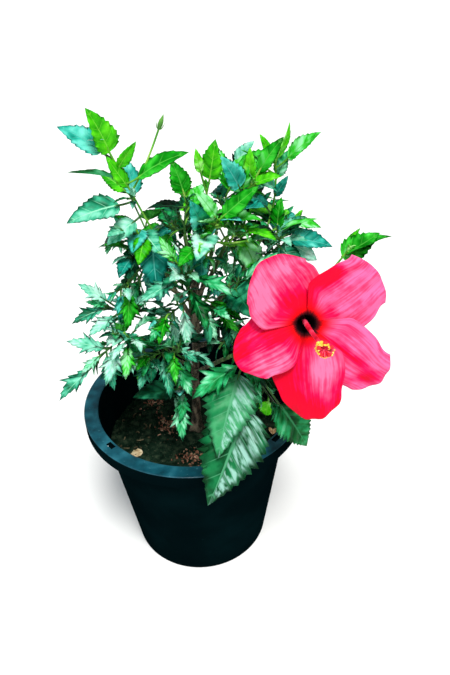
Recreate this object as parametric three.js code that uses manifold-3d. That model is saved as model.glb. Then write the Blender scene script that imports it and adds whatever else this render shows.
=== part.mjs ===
// A hibiscus shrub in its round nursery pot: the filled pot, a trunk that forks into boughs, a mass of
// foliage on each bough, and one open bloom. Millimetres, +Z up; the origin is the middle of the pot's
// underside, +X is to the right and -Y is the side that the bloom faces.
import * as THREE from "three";
import { mergeVertices } from "three/addons/utils/BufferGeometryUtils.js";
import Module from "manifold-3d";

const wasm = await Module();
wasm.setup();

const UP = new THREE.Vector3(0, 0, 1);
const DEGREE = Math.PI / 180;
const CLEAR = 0.3; // air between two pieces that touch on the real plant

// The pot: a tapered bucket under a flat rim with a turned-down skirt.
const POT = {
  height: 204,
  rimRadius: 125,
  rimWidth: 15.5,
  rimThickness: 3,
  rimBevel: 1,
  skirtDrop: 15,
  skirtThickness: 2.6,
  neckRadius: 110.7,
  baseRadius: 82.5,
  footBevel: 2.5,
  wall: 2.5,
  floor: 3,
  sides: 32,
};
const RIM_SLOT = { length: 10, width: 5.5, inset: 1, headings: [38, 136, 218, 316] }; // degrees from +X
const DRAIN = { radius: 6, ring: 54, count: 5, sides: 8 };
const SOIL = {
  top: 156,
  edgeDrop: 4,
  lump: 2.2,
  quiet: 16,
  rings: [0.14, 0.3, 0.47, 0.63, 0.82, 1],
  mounds: [ // place, spread and rise of each low heap
    { at: [-47, 38], spread: 20, rise: 6 },
    { at: [7, -51], spread: 22, rise: 5 },
    { at: [60, -40], spread: 20, rise: 4 },
    { at: [30, 60], spread: 24, rise: 4 },
  ],
};

// The trunk: its middle line from the flat cut on the soil to the fork, its taper and its root flare.
const TRUNK = {
  line: [[0, 0, SOIL.top + CLEAR], [2, -1, 200], [3, 0, 240], [8, 0, 309], [8, 0, 356]],
  footRadius: 5.2,
  tipRadius: 3,
  flare: 0.8,
  flareHeight: 9,
  flareLobes: 5,
  sides: 8,
  rings: 11,
};

// Each bough: its height on the trunk, its tip, how far its middle bows, and its radius at both ends.
const BOUGH = { sides: 5, rings: 3 };
const BOUGHS = {
  bough_top_left: { from: 346, tip: [-22, -12, 402], bow: [-2, 0, -6], thick: 2.6, thin: 1.8 },
  bough_left: { from: 328, tip: [-38, -6, 374], bow: [-3, 0, -5], thick: 2.3, thin: 1.5 },
  bough_low_left: { from: 284, tip: [-46, -18, 324], bow: [-3, 0, 5], thick: 2.2, thin: 1.5 },
  bough_front_left: { from: 262, tip: [-54, -38, 314], bow: [0, -4, 8], thick: 2.2, thin: 1.5 },
  bough_front: { from: 322, tip: [3, -24, 346], bow: [0, -3, -3], thick: 2, thin: 1.6 },
  bough_low_front: { from: 246, tip: [-22, -36, 290], bow: [-2, -4, 0], thick: 2, thin: 1.4 },
  bough_over_soil: { from: 216, tip: [-8, -26, 238], bow: [0, -3, -2], thick: 1.8, thin: 1.3 },
  bough_middle: { from: 342, tip: [20, -7, 390], bow: [2, -1, -3], thick: 2.3, thin: 1.8 },
  bough_centre: { from: 354, tip: [2, 2, 404], bow: [-2, 0, 0], thick: 2.4, thin: 1.8 },
  bough_right: { from: 334, tip: [44, 10, 394], bow: [4, 0, -6], thick: 2.4, thin: 1.8 },
  bough_far_right: { from: 306, tip: [80, 28, 382], bow: [8, 2, -8], thick: 2.6, thin: 1.8 },
  bough_right_low: { from: 296, tip: [74, -4, 366], bow: [6, -2, -6], thick: 2.3, thin: 1.6 },
  bough_bloom: { from: 274, tip: [104, -64, 362], bow: [6, 0, -16], thick: 2.9, thin: 1.9 },
  bough_front_right: { from: 238, tip: [46, -84, 322], bow: [4, 0, 2], thick: 2.5, thin: 1.7 },
  bough_inner_right: { from: 290, tip: [34, -26, 344], bow: [1, -6, -2], thick: 2, thin: 1.5 },
  bough_back_left: { from: 300, tip: [-32, 42, 376], bow: [-3, 5, -5], thick: 2.6, thin: 1.8 },
  bough_back_right: { from: 318, tip: [36, 50, 384], bow: [1, 8, -5], thick: 2.6, thin: 1.8 },
  bough_back: { from: 256, tip: [2, 54, 330], bow: [0, 6, -4], thick: 2.4, thin: 1.7 },
};

// Leaf outlines in shares of the leaf's length: how far along, then how far out from the midrib. The
// blade is thickest at its rib points, and its edge runs over from the first to the second at turn.
const LEAF_FORMS = {
  broad: { edge: [[0.08, 0.2], [0.38, 0.32], [0.74, 0.19]], rib: [0.44], turn: 3 },
  cut: { edge: [[0.12, 0.15], [0.62, 0.33], [0.57, 0.14]], rib: [0.48], turn: 4 },
  large: { edge: [[0.05, 0.17], [0.24, 0.31], [0.52, 0.3], [0.78, 0.16]], rib: [0.34, 0.7], turn: 3 },
  young: { edge: [[0.1, 0.11], [0.42, 0.19], [0.76, 0.1]], rib: [0.48], turn: 3 },
};
const LEAF = {
  thickness: 0.03, // share of its length, at the midrib
  berth: 0.4, // the air that a leaf keeps round itself
  turn: 144, // degrees from one leaf to the next round a shoot
  turnSwing: 24,
  spread: [66, 24], // degrees that leaves stand off the shoot, at its foot and at its tip
  spreadSwing: 9,
  flat: 0.4, // how much of its rise or fall the outward heading keeps
  size: [0.86, 1.14], // of the shoot's fullest leaf
  taper: 0.4, // how much smaller the leaves get by the tip
  headSwing: 0.12,
  faceOut: 0.5, // how far its upper side leans outwards from straight up
  faceFront: -0.3,
  faceSwing: [0.3, 0.2],
  bend: [0.25, 0.7], // radians that the midrib curves down along the blade, least and most
  fold: [8, 26], // degrees that each half rises from the midrib
  shrink: 0.86, // how much smaller each further try is, where the first would touch something
  tries: 6,
  crossing: 3, // mm3 that a leaf may share with its own mass
};
const LEAF_STALK = { share: [0.21, 0.34], root: 0.35, radius: 0.8 }; // shares of the blade's length
const SHOOT = { thick: 1.44, thin: 1.1, rings: 3, sides: 3, bare: 0.16, knee: 0.45, sag: 0.12 };
const FIRST_SIDE = [-0.8, 0.1, -0.6]; // the side of a shoot that its first leaf is counted from
const BUD = { stretch: 2.3, sides: 8, rings: 6, neck: 0.12, fullest: 0.8 };

// Each mass of foliage: its bough, its seed and its shoots. The first shoot is the mass's own stem, and
// the others leave that stem at a share of its length. A shoot has a tip, a number of leaves, the length
// of its fullest leaf and that leaf's form; droop is how strongly its leaves hang. A leaf that stands
// out in the crown is given by where it leaves its shoot, its tip, its length and its form.
const FOLIAGE = {
  foliage_under_bloom: { bough: "bough_front_right", seed: 16, shoots: [
    { tip: [58, -112, 316], leaves: 2, leaf: 40, droop: 0.8, form: "broad", show: [
      { at: 0.35, tip: [14, -158, 262], length: 78, form: "large", face: [-0.2, -0.7, 0.6] },
      { at: 0.97, tip: [10, -172, 214], length: 96, form: "large", face: [-0.1, -0.8, 0.5] },
      { at: 0.9, tip: [108, -112, 222], length: 62, form: "large", face: [0.3, -0.8, 0.3] },
      { at: 0.6, tip: [-4, -124, 306], length: 52, form: "cut", face: [-0.2, -0.6, 0.8] },
    ] },
    { at: 0.2, tip: [78, -92, 262], leaves: 4, leaf: 34, droop: 0.5, form: "cut" },
  ] },
  foliage_bloom: { bough: "bough_bloom", seed: 29, fresh: true, shoots: [
    { tip: [139, -78, 414], leaves: 3, leaf: 34, droop: 0.1, form: "young", show: [
      { at: 0.97, tip: [175, -84, 430], length: 42, form: "broad", face: [-0.2, 0.1, 1] },
    ] },
  ] },
  foliage_top_left: { bough: "bough_top_left", seed: 7, fresh: true, shoots: [
    { tip: [-60, -20, 500], leaves: 3, leaf: 32, droop: 0.3, form: "broad", show: [
      { at: 0.97, tip: [-70, -26, 532], length: 42, form: "broad", face: [0.5, -0.8, 0.3] },
      { at: 0.88, tip: [-98, -12, 515], length: 42, form: "broad", face: [0.1, -0.5, 0.9] },
      { at: 0.8, tip: [-35, -27, 504], length: 30, form: "young", face: [0.3, -0.9, 0.3] },
      { at: 0.7, tip: [-95, -22, 478], length: 44, form: "young", face: [0, 0.5, 0.9] },
      { at: 0.66, tip: [10, -35, 495], length: 54, form: "young", face: [0, -0.5, 0.9] },
      { at: 0.5, tip: [-100, -42, 442], length: 50, form: "broad", face: [0, -0.4, 0.9] },
      { at: 0.36, tip: [-68, -36, 414], length: 34, form: "broad", face: [-0.2, -0.7, 0.7] },
      { at: 0.18, tip: [-30, -40, 366], length: 46, form: "broad", face: [0, -0.9, 0.3] },
    ] },
    { at: 0.58, tip: [-14, -20, 510], leaves: 0, bud: 15 },
    { at: 0.12, tip: [-54, -26, 424], leaves: 4, leaf: 32, droop: 0.6, form: "broad" },
  ] },
  foliage_left: { bough: "bough_left", seed: 29, shoots: [
    { tip: [-46, -18, 400], leaves: 7, leaf: 38, droop: 0.7, form: "broad" },
    { at: 0.2, tip: [-66, -34, 366], leaves: 7, leaf: 40, droop: 0.8, form: "cut" },
  ] },
  foliage_low_left: { bough: "bough_low_left", seed: 7, shoots: [
    { tip: [-78, -20, 342], leaves: 5, leaf: 36, droop: 0.3, form: "cut", show: [
      { at: 0.5, tip: [-103, -20, 371], length: 34, form: "cut", face: [0.1, -0.8, 0.6] },
      { at: 0.98, tip: [-115, -30, 332], length: 36, form: "cut", face: [0, -0.4, 0.9] },
      { at: 0.7, tip: [-96, -50, 326], length: 34, form: "cut", face: [0, -0.5, 0.9] },
    ] },
    { at: 0.3, tip: [-48, -36, 350], leaves: 5, leaf: 36, droop: 0.4, form: "cut" },
  ] },
  foliage_front_left: { bough: "bough_front_left", seed: 58, shoots: [
    { tip: [-90, -58, 306], leaves: 6, leaf: 38, droop: 0.5, form: "cut", show: [
      { at: 0.98, tip: [-125, -90, 282], length: 42, form: "cut", face: [-0.3, -0.5, 0.8] },
      { at: 0.75, tip: [-118, -52, 326], length: 38, form: "cut", face: [-0.2, -0.5, 0.9] },
      { at: 0.8, tip: [-77, -78, 282], length: 36, form: "cut", face: [0, -0.7, 0.7] },
    ] },
    { at: 0.15, tip: [-58, -60, 330], leaves: 5, leaf: 36, droop: 0.5, form: "cut" },
  ] },
  foliage_front: { bough: "bough_front", seed: 28, shoots: [
    { tip: [-4, -42, 392], leaves: 9, leaf: 44, droop: 1.1, form: "cut" },
    { at: 0.12, tip: [26, -50, 348], leaves: 6, leaf: 38, droop: 0.9, form: "cut" },
    { at: 0.1, tip: [-28, -54, 344], leaves: 6, leaf: 38, droop: 0.9, form: "cut" },
  ] },
  foliage_low_front: { bough: "bough_low_front", seed: 29, shoots: [
    { tip: [-50, -56, 302], leaves: 7, leaf: 40, droop: 1, form: "cut" },
    { at: 0.2, tip: [-10, -62, 312], leaves: 6, leaf: 38, droop: 1, form: "cut" },
  ] },
  foliage_over_soil: { bough: "bough_over_soil", seed: 8, shoots: [
    { tip: [-16, -44, 248], leaves: 3, leaf: 36, droop: 0.5, form: "cut", show: [
      { at: 0.6, tip: [-62, -58, 254], length: 46, form: "broad", face: [-0.1, -0.3, 1] },
      { at: 0.99, tip: [-16, -82, 212], length: 42, form: "cut", face: [0.1, -0.5, 0.8] },
    ] },
  ] },
  foliage_middle: { bough: "bough_middle", seed: 7, fresh: true, shoots: [
    { tip: [33, -25, 428], leaves: 5, leaf: 40, droop: 0.6, form: "broad", show: [
      { at: 0.97, tip: [12, -32, 463], length: 37, form: "young", face: [0.4, -0.8, 0.4] },
      { at: 0.99, tip: [70, -32, 459], length: 44, form: "young", face: [-0.2, -0.8, 0.5] },
      { at: 0.5, tip: [6, -34, 450], length: 38, form: "broad", face: [-0.1, -0.8, 0.5] },
    ] },
    { at: 0.2, tip: [25, 2, 446], leaves: 2, leaf: 34, droop: 0.2, form: "broad", show: [
      { at: 0.99, tip: [37, 0, 493], length: 37, form: "broad", face: [-0.3, -0.9, 0.2] },
    ] },
    { at: 0.1, tip: [12, -42, 412], leaves: 4, leaf: 42, droop: 0.7, form: "broad" },
    { at: 0.3, tip: [58, -30, 408], leaves: 3, leaf: 40, droop: 0.5, form: "broad" },
  ] },
  foliage_centre: { bough: "bough_centre", seed: 46, shoots: [
    { tip: [6, 4, 434], leaves: 4, leaf: 36, droop: 0.5, form: "broad", show: [
      { at: 0.99, tip: [-4, 2, 478], length: 34, form: "broad", face: [0.2, -0.9, 0.3] },
      { at: 0.9, tip: [-33, 4, 430], length: 35, form: "broad", face: [0, 0, 1] },
    ] },
    { at: 0.2, tip: [-16, 18, 404], leaves: 4, leaf: 38, droop: 0.7, form: "broad" },
  ] },
  foliage_right_top: { bough: "bough_right", seed: 28, fresh: true, shoots: [
    { tip: [67, 12, 446], leaves: 5, leaf: 36, droop: 0.4, form: "broad", show: [
      { at: 0.99, tip: [68, 10, 482], length: 33, form: "young", face: [-0.3, -0.9, 0.2] },
      { at: 0.95, tip: [96, 12, 491], length: 40, form: "young", face: [-0.4, -0.8, 0.3] },
      { at: 0.8, tip: [38, 6, 477], length: 38, form: "broad", face: [0.1, -0.8, 0.6] },
    ] },
    { at: 0.15, tip: [58, -20, 412], leaves: 4, leaf: 42, droop: 0.6, form: "broad" },
  ] },
  foliage_far_right: { bough: "bough_far_right", seed: 19, fresh: true, shoots: [
    { tip: [93, 28, 462], leaves: 3, leaf: 28, droop: 0.2, form: "young", show: [
      { at: 0.98, tip: [104, 25, 499], length: 36, form: "young", face: [0.7, -0.6, 0.1] },
      { at: 0.93, tip: [133, 15, 491], length: 40, form: "broad", face: [-0.5, -0.3, 0.8] },
      { at: 0.96, tip: [78, 33, 487], length: 22, form: "young", face: [0.3, -0.9, 0.2] },
      { at: 0.86, tip: [60, 30, 474], length: 28, form: "young", face: [0, 0.1, 1] },
      { at: 0.7, tip: [76, 16, 446], length: 26, form: "broad", face: [0, -0.7, 0.7] },
    ] },
    { at: 0.1, tip: [112, 26, 402], leaves: 4, leaf: 38, droop: 0.5, form: "broad" },
  ] },
  foliage_right: { bough: "bough_right_low", seed: 52, shoots: [
    { tip: [92, -4, 404], leaves: 5, leaf: 42, droop: 0.6, form: "broad", show: [
      { at: 0.98, tip: [130, -8, 416], length: 42, form: "young", face: [0, 0.1, 1] },
      { at: 0.95, tip: [53, -8, 409], length: 36, form: "broad", face: [-0.2, 0.1, 1] },
      { at: 0.85, tip: [146, -8, 386], length: 44, form: "broad", face: [0.3, -0.4, 0.9] },
      { at: 0.75, tip: [116, -22, 368], length: 34, form: "broad", face: [0.3, -0.9, 0.4] },
    ] },
    { at: 0.2, tip: [88, -30, 356], leaves: 4, leaf: 44, droop: 0.6, form: "broad" },
  ] },
  foliage_inner_right: { bough: "bough_inner_right", seed: 26, shoots: [
    { tip: [58, -46, 364], leaves: 8, leaf: 50, droop: 0.9, form: "broad" },
    { at: 0.15, tip: [44, -56, 318], leaves: 6, leaf: 42, droop: 0.8, form: "cut" },
  ] },
  foliage_back_left: { bough: "bough_back_left", seed: 29, shoots: [
    { tip: [-52, 66, 424], leaves: 9, leaf: 48, droop: 0.6, form: "broad" },
    { at: 0.3, tip: [-70, 52, 376], leaves: 7, leaf: 42, droop: 0.5, form: "cut" },
    { at: 0.1, tip: [-50, 30, 340], leaves: 6, leaf: 42, droop: 0.6, form: "cut" },
  ] },
  foliage_back_right: { bough: "bough_back_right", seed: 11, shoots: [
    { tip: [58, 78, 442], leaves: 9, leaf: 50, droop: 0.4, form: "broad" },
    { at: 0.3, tip: [94, 66, 396], leaves: 7, leaf: 46, droop: 0.5, form: "cut" },
    { at: 0.1, tip: [62, 44, 344], leaves: 6, leaf: 44, droop: 0.6, form: "cut" },
  ] },
  foliage_back: { bough: "bough_back", seed: 3, shoots: [
    { tip: [6, 68, 414], leaves: 10, leaf: 44, droop: 0.5, form: "broad" },
    { at: 0.2, tip: [-38, 88, 336], leaves: 5, leaf: 42, droop: 0.6, form: "cut" },
    { at: 0.1, tip: [40, 88, 330], leaves: 5, leaf: 42, droop: 0.6, form: "cut" },
  ] },
};

// The bloom: five petals that flare from a narrow tube, each laid over the next, round a long column.
const BLOOM = {
  throat: [97, -123, 373],
  lift: 13, // degrees that it looks up from -Y
  // Each petal: degrees round the throat, anticlockwise as it is seen, how far it reaches from there,
  // half its width, how round its tip is, and the degrees that it sweeps round towards its tip.
  petals: [
    { turn: 34, reach: 71, half: 27.5, round: 0.14, sweep: 2 },
    { turn: 124, reach: 68, half: 28, round: 0.33, sweep: -2 },
    { turn: 201, reach: 67, half: 22, round: 0.25, sweep: 4 },
    { turn: 270, reach: 88, half: 23, round: 0.2, sweep: 4 },
    { turn: 318, reach: 85, half: 22, round: 0.17, sweep: 2 },
  ],
  widening: [0.12, 0.52], // where along a half wave its width starts and ends
  tube: 26, // depth of the tube behind the throat
  tubeShare: 0.3, // of a petal's length
  tubeRadius: 4.4,
  throatRadius: 8,
  throatSpread: 50, // degrees that half a petal takes round the throat
  dish: 7, // how far the flared part stands in front of the throat
  dishBow: 2.2,
  overlap: 5, // how far a petal's leading edge stands over its neighbour's trailing edge
  ruffle: { height: 1.6, across: 9, along: 5 },
  thickness: 1,
  along: 6,
  across: 4,
};
const COLUMN = { length: 66, thick: 2.6, thin: 1.4, rise: 4, sides: 6, rings: 6 };
const STAMENS = { count: 11, first: 0.6, last: 0.9, lean: 20, reach: 4.6, thread: 0.5, knob: 1.5 };
const STIGMA = { count: 5, at: 0.99, lean: 55, reach: 5.5, thread: 0.5, knob: 1.7 };
const CALYX = { depth: 24, foot: 2.4, mouth: 9.4, flare: 12.5, wall: 1.2, sides: 10 };
const BLOOM_STALK = { thick: 1.6, thin: 1.5, sides: 6, rings: 6, bow: [0, 4, -6], from: 0.93 };

const COLOURS = {
  pot: 0x10201f,
  soil: 0x2b1f1a,
  bark: 0x8a7660,
  greenBark: 0x6f8a4c,
  leaf: 0x2f7a3c,
  freshLeaf: 0x55b84a,
  petal: 0xf0306a,
  column: 0xe23a5a,
};

const vec = (xyz) => new THREE.Vector3(...xyz);
const mix = THREE.MathUtils.lerp;

// A repeatable stream of numbers from 0 to 1.
function numbersFrom(seed) {
  let state = seed >>> 0;
  return () => {
    state = (state + 0x6d2b79f5) >>> 0;
    let mixed = Math.imul(state ^ (state >>> 15), state | 1);
    mixed ^= mixed + Math.imul(mixed ^ (mixed >>> 7), mixed | 61);
    return ((mixed ^ (mixed >>> 14)) >>> 0) / 4294967296;
  };
}

function geometryOf(corners, faces) {
  return new THREE.BufferGeometry().setFromPoints(corners).setIndex(faces.flat());
}

// A closed three.js geometry as a solid that can be joined and cut.
function solidOf(geometry) {
  const bare = geometry.index ? geometry.toNonIndexed() : geometry.clone();
  bare.deleteAttribute("normal");
  bare.deleteAttribute("uv");
  const welded = mergeVertices(bare, 1e-4);
  return new wasm.Manifold(new wasm.Mesh({
    numProp: 3,
    vertProperties: Float32Array.from(welded.attributes.position.array),
    triVerts: Uint32Array.from(welded.index.array),
  }));
}

function joined(solids) {
  return solids.reduce((whole, solid) => whole.add(solid));
}

// Only the largest body of a cut solid, without the scraps that the cut leaves.
function largest(solid) {
  return solid.decompose().sort((one, other) => other.volume() - one.volume())[0];
}

function pieceOf(name, solid, colour, roughness) {
  const { vertProperties, triVerts } = solid.getMesh();
  const geometry = new THREE.BufferGeometry();
  geometry.setAttribute("position", new THREE.BufferAttribute(vertProperties, 3));
  geometry.setIndex(new THREE.BufferAttribute(triVerts, 1));
  geometry.computeVertexNormals();
  const material = new THREE.MeshStandardMaterial({ color: colour, roughness, metalness: 0 });
  const piece = new THREE.Mesh(geometry, material);
  piece.name = name;
  return piece;
}

// A closed skin over rings of corners, each ring of the same count, with a flat cap at both ends.
function skinned(ringsOfCorners) {
  const sides = ringsOfCorners[0].length;
  const faces = [];
  const last = (ringsOfCorners.length - 1) * sides;
  for (let ring = 0; ring < ringsOfCorners.length - 1; ring++) {
    for (let side = 0; side < sides; side++) {
      const here = ring * sides + side;
      const beside = ring * sides + ((side + 1) % sides);
      faces.push([here, beside, beside + sides], [here, beside + sides, here + sides]);
    }
  }
  for (let side = 1; side < sides - 1; side++) {
    faces.push([0, side + 1, side], [last, last + side, last + side + 1]);
  }
  return geometryOf(ringsOfCorners.flat(), faces);
}

// A tapering limb along a curve.
function limb(curve, { thick, thin, sides, rings }, grow = 0, swell = () => 1) {
  const frames = curve.computeFrenetFrames(rings, false);
  const loops = Array.from({ length: rings + 1 }, (_, ring) => {
    const share = ring / rings;
    const middle = curve.getPointAt(share);
    return Array.from({ length: sides }, (_, side) => {
      const turn = (2 * Math.PI * side) / sides;
      const radius = mix(thick, thin, share) * swell(middle.z, turn) + grow;
      return middle.clone()
        .addScaledVector(frames.normals[ring], radius * Math.cos(turn))
        .addScaledVector(frames.binormals[ring], radius * Math.sin(turn));
    });
  });
  return solidOf(skinned(loops));
}

// A curve from foot to tip whose middle control point is moved off the straight line by bow.
function bowed(foot, tip, bow) {
  const middle = foot.clone().lerp(tip, 0.5).add(bow);
  return new THREE.QuadraticBezierCurve3(foot, middle, tip);
}

function lathed(profile, sides) {
  const points = profile.map(([radius, height]) => new THREE.Vector2(radius, height));
  return new THREE.LatheGeometry(points, sides).rotateX(Math.PI / 2);
}

// A thin closed sheet from a grid of places, with its two faces half the thickness to each side.
function sheet(along, across, thickness, placeAt) {
  const step = 1e-3;
  const faceCorners = (side) => {
    const corners = [];
    for (let i = 0; i <= along; i++) {
      for (let j = 0; j <= across; j++) {
        const u = i / along;
        const v = j / across;
        const place = placeAt(u, v);
        const ahead = placeAt(u + step, v).sub(place);
        const beside = placeAt(u, v + step).sub(place);
        corners.push(place.addScaledVector(ahead.cross(beside).normalize(), (side * thickness) / 2));
      }
    }
    return corners;
  };
  const row = across + 1;
  const back = (along + 1) * row;
  const faces = [];
  for (let i = 0; i < along; i++) {
    for (let j = 0; j < across; j++) {
      const here = i * row + j;
      faces.push([here, here + row, here + row + 1], [here, here + row + 1, here + 1]);
      faces.push([back + here, back + here + row + 1, back + here + row]);
      faces.push([back + here, back + here + 1, back + here + row + 1]);
    }
  }
  const rim = [];
  for (let j = 0; j < across; j++) rim.push(j);
  for (let i = 0; i < along; i++) rim.push(i * row + across);
  for (let j = across; j > 0; j--) rim.push(along * row + j);
  for (let i = along; i > 0; i--) rim.push(i * row);
  rim.forEach((corner, index) => {
    const next = rim[(index + 1) % rim.length];
    faces.push([corner, next, back + next], [corner, back + next, back + corner]);
  });
  return solidOf(geometryOf([...faceCorners(1), ...faceCorners(-1)], faces));
}

// The pot

function wallRadius(height) {
  return mix(POT.baseRadius, POT.neckRadius, height / POT.height);
}

function potSolid() {
  const rimUnder = POT.height - POT.rimThickness;
  const body = solidOf(lathed([
    [0, 0],
    [POT.baseRadius - POT.footBevel, 0],
    [wallRadius(POT.footBevel), POT.footBevel],
    [wallRadius(rimUnder), rimUnder],
    [POT.rimRadius - POT.skirtThickness, rimUnder],
    [POT.rimRadius - POT.skirtThickness, POT.height - POT.skirtDrop],
    [POT.rimRadius, POT.height - POT.skirtDrop],
    [POT.rimRadius, POT.height - POT.rimBevel],
    [POT.rimRadius - POT.rimBevel, POT.height],
    [POT.rimRadius - POT.rimWidth, POT.height],
    [wallRadius(rimUnder) - POT.wall, rimUnder - POT.rimThickness],
    [wallRadius(POT.floor) - POT.wall, POT.floor],
    [0, POT.floor],
  ], POT.sides));
  const slotRing = POT.neckRadius + RIM_SLOT.inset + RIM_SLOT.width / 2;
  const slots = RIM_SLOT.headings.map((heading) => solidOf(
    new THREE.BoxGeometry(RIM_SLOT.width, RIM_SLOT.length, POT.rimThickness * 3)
      .translate(slotRing, 0, POT.height)
      .rotateZ(heading * DEGREE),
  ));
  const drains = Array.from({ length: DRAIN.count }, (_, index) => solidOf(
    new THREE.CylinderGeometry(DRAIN.radius, DRAIN.radius, POT.floor * 3, DRAIN.sides)
      .rotateX(Math.PI / 2)
      .translate(DRAIN.ring, 0, 0)
      .rotateZ((2 * Math.PI * index) / DRAIN.count),
  ));
  return body.subtract(joined([...slots, ...drains]));
}

// The soil fills the pot to a lumpy top that is level where the trunk stands.
function soilTop(radius, turn, edge) {
  const loose = THREE.MathUtils.smoothstep(radius, SOIL.quiet, SOIL.quiet * 2);
  const lumps = Math.sin(3 * turn + radius / 9) + Math.sin(7 * turn - radius / 14 + 1);
  const heaps = SOIL.mounds.reduce((height, { at: [x, y], spread, rise }) => {
    const away = Math.hypot(radius * Math.sin(turn) - x, -radius * Math.cos(turn) - y);
    return height + rise * Math.exp(-((away / spread) ** 2));
  }, 0);
  return SOIL.top + loose * (heaps - SOIL.edgeDrop * (radius / edge) ** 2 + (SOIL.lump / 2) * lumps);
}

function soilSolid() {
  const fit = Math.cos(Math.PI / POT.sides);
  const innerAt = (height) => (wallRadius(height) - POT.wall - CLEAR) * fit;
  const bottom = POT.floor + CLEAR;
  const edge = innerAt(SOIL.top) - 1;
  const loop = (radius, heightAt) => Array.from({ length: POT.sides }, (_, side) => {
    const turn = (2 * Math.PI * side) / POT.sides;
    return new THREE.Vector3(radius * Math.sin(turn), -radius * Math.cos(turn), heightAt(turn));
  });
  const tops = SOIL.rings.toReversed()
    .map((share) => loop(edge * share, (turn) => soilTop(edge * share, turn, edge)));
  return solidOf(skinned([loop(innerAt(bottom), () => bottom), ...tops]));
}

// The trunk and its boughs

const trunkLine = new THREE.CatmullRomCurve3(TRUNK.line.map(vec));

function trunkSolid(grow = 0) {
  const line = trunkLine.clone();
  line.points.at(-1).z += grow;
  const foot = TRUNK.line[0][2];
  const swell = (height, turn) => {
    const low = Math.exp(-(height - foot) / TRUNK.flareHeight);
    return 1 + TRUNK.flare * low * (1 + 0.35 * Math.cos(TRUNK.flareLobes * turn));
  };
  const size = { thick: TRUNK.footRadius, thin: TRUNK.tipRadius, sides: TRUNK.sides, rings: TRUNK.rings };
  const below = grow - CLEAR;
  const block = new THREE.BoxGeometry(100, 100, 100).translate(0, 0, foot - 50 - Math.max(below, 0));
  return limb(line, size, grow, swell).subtract(solidOf(block));
}

function trunkAt(height) {
  let [low, high] = [0, 1];
  while (high - low > 1e-6) {
    const half = (low + high) / 2;
    if (trunkLine.getPoint(half).z < height) low = half;
    else high = half;
  }
  return trunkLine.getPoint(low);
}

function boughCurve({ from, tip, bow }) {
  return bowed(trunkAt(from), vec(tip), vec(bow));
}

// Leaves

const swing = (draw, reach) => (draw() * 2 - 1) * reach;

// Where a leaf's midrib and edge lie: it curves down from its foot, and its two halves rise from the rib.
function leafShape({ foot, ahead, face, length, bend, fold }) {
  const side = ahead.clone().cross(face).normalize();
  const faceAt = (along) => ahead.clone().multiplyScalar(Math.sin(bend * along))
    .addScaledVector(face, Math.cos(bend * along));
  const ribAt = (along) => foot.clone()
    .addScaledVector(ahead, (length * Math.sin(bend * along)) / bend)
    .addScaledVector(face, (-length * (1 - Math.cos(bend * along))) / bend);
  const edgeAt = (along, out, hand) => ribAt(along)
    .addScaledVector(side, hand * length * out * Math.cos(fold))
    .addScaledVector(faceAt(along), length * out * Math.sin(fold));
  return { ribAt, faceAt, edgeAt, side };
}

// A leaf and its stalk as one closed solid: a three-sided stalk that runs into a blade that is thick at
// the midrib and sharp at its edge. A berth makes it that much thicker and longer all round.
function leafSolid(leaf, berth = 0) {
  const { root, form } = leaf;
  const length = leaf.length + 2 * berth;
  const { ribAt, faceAt, edgeAt, side } = leafShape({ ...leaf, length });
  const { edge, rib, turn } = LEAF_FORMS[form];
  const half = berth + (leaf.length * LEAF.thickness) / 2;
  const around = (middle, radius) => [[0, 1], [-1, -0.5], [1, -0.5]].map(([hand, lift]) => middle.clone()
    .addScaledVector(side, hand * (radius + berth))
    .addScaledVector(leaf.face, lift * (radius + berth)));
  const corners = [...around(root, LEAF_STALK.root), ...around(ribAt(0), LEAF_STALK.radius)];
  const outline = [
    ...edge.map(([along, out]) => edgeAt(along, out, 1)),
    ribAt(1),
    ...edge.toReversed().map(([along, out]) => edgeAt(along, out, -1)),
  ].map((place) => corners.push(place) - 1);
  const ribCorners = (hand) => rib.map((along) =>
    corners.push(ribAt(along).addScaledVector(faceAt(along), hand * half)) - 1);
  const upper = ribCorners(1);
  const under = ribCorners(-1);
  const [rootTop, rootLeft, rootRight, top, left, right] = [0, 1, 2, 3, 4, 5];
  const [first, last] = [outline[0], outline.at(-1)];
  const faces = [
    [rootTop, rootLeft, rootRight],
    [top, left, rootLeft], [top, rootLeft, rootTop],
    [left, right, rootRight], [left, rootRight, rootLeft],
    [right, top, rootTop], [right, rootTop, rootRight],
    [top, last, left], [top, right, first],
    [upper[0], last, top], [upper[0], top, first],
    [under[0], left, last], [under[0], right, left], [under[0], first, right],
  ];
  const nearFoot = (index) => Math.min(index + 1, outline.length - index) < turn;
  for (let index = 0; index < outline.length - 1; index++) {
    const rung = nearFoot(index) || nearFoot(index + 1) ? 0 : rib.length - 1;
    faces.push([upper[rung], outline[index], outline[index + 1]]);
    faces.push([under[rung], outline[index + 1], outline[index]]);
  }
  if (rib.length > 1) {
    const [start, end] = [outline[turn - 1], outline[outline.length - turn]];
    faces.push([upper[0], start, upper[1]], [upper[1], end, upper[0]]);
    faces.push([under[1], start, under[0]], [under[0], end, under[1]]);
  }
  return solidOf(geometryOf(corners, faces));
}

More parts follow.
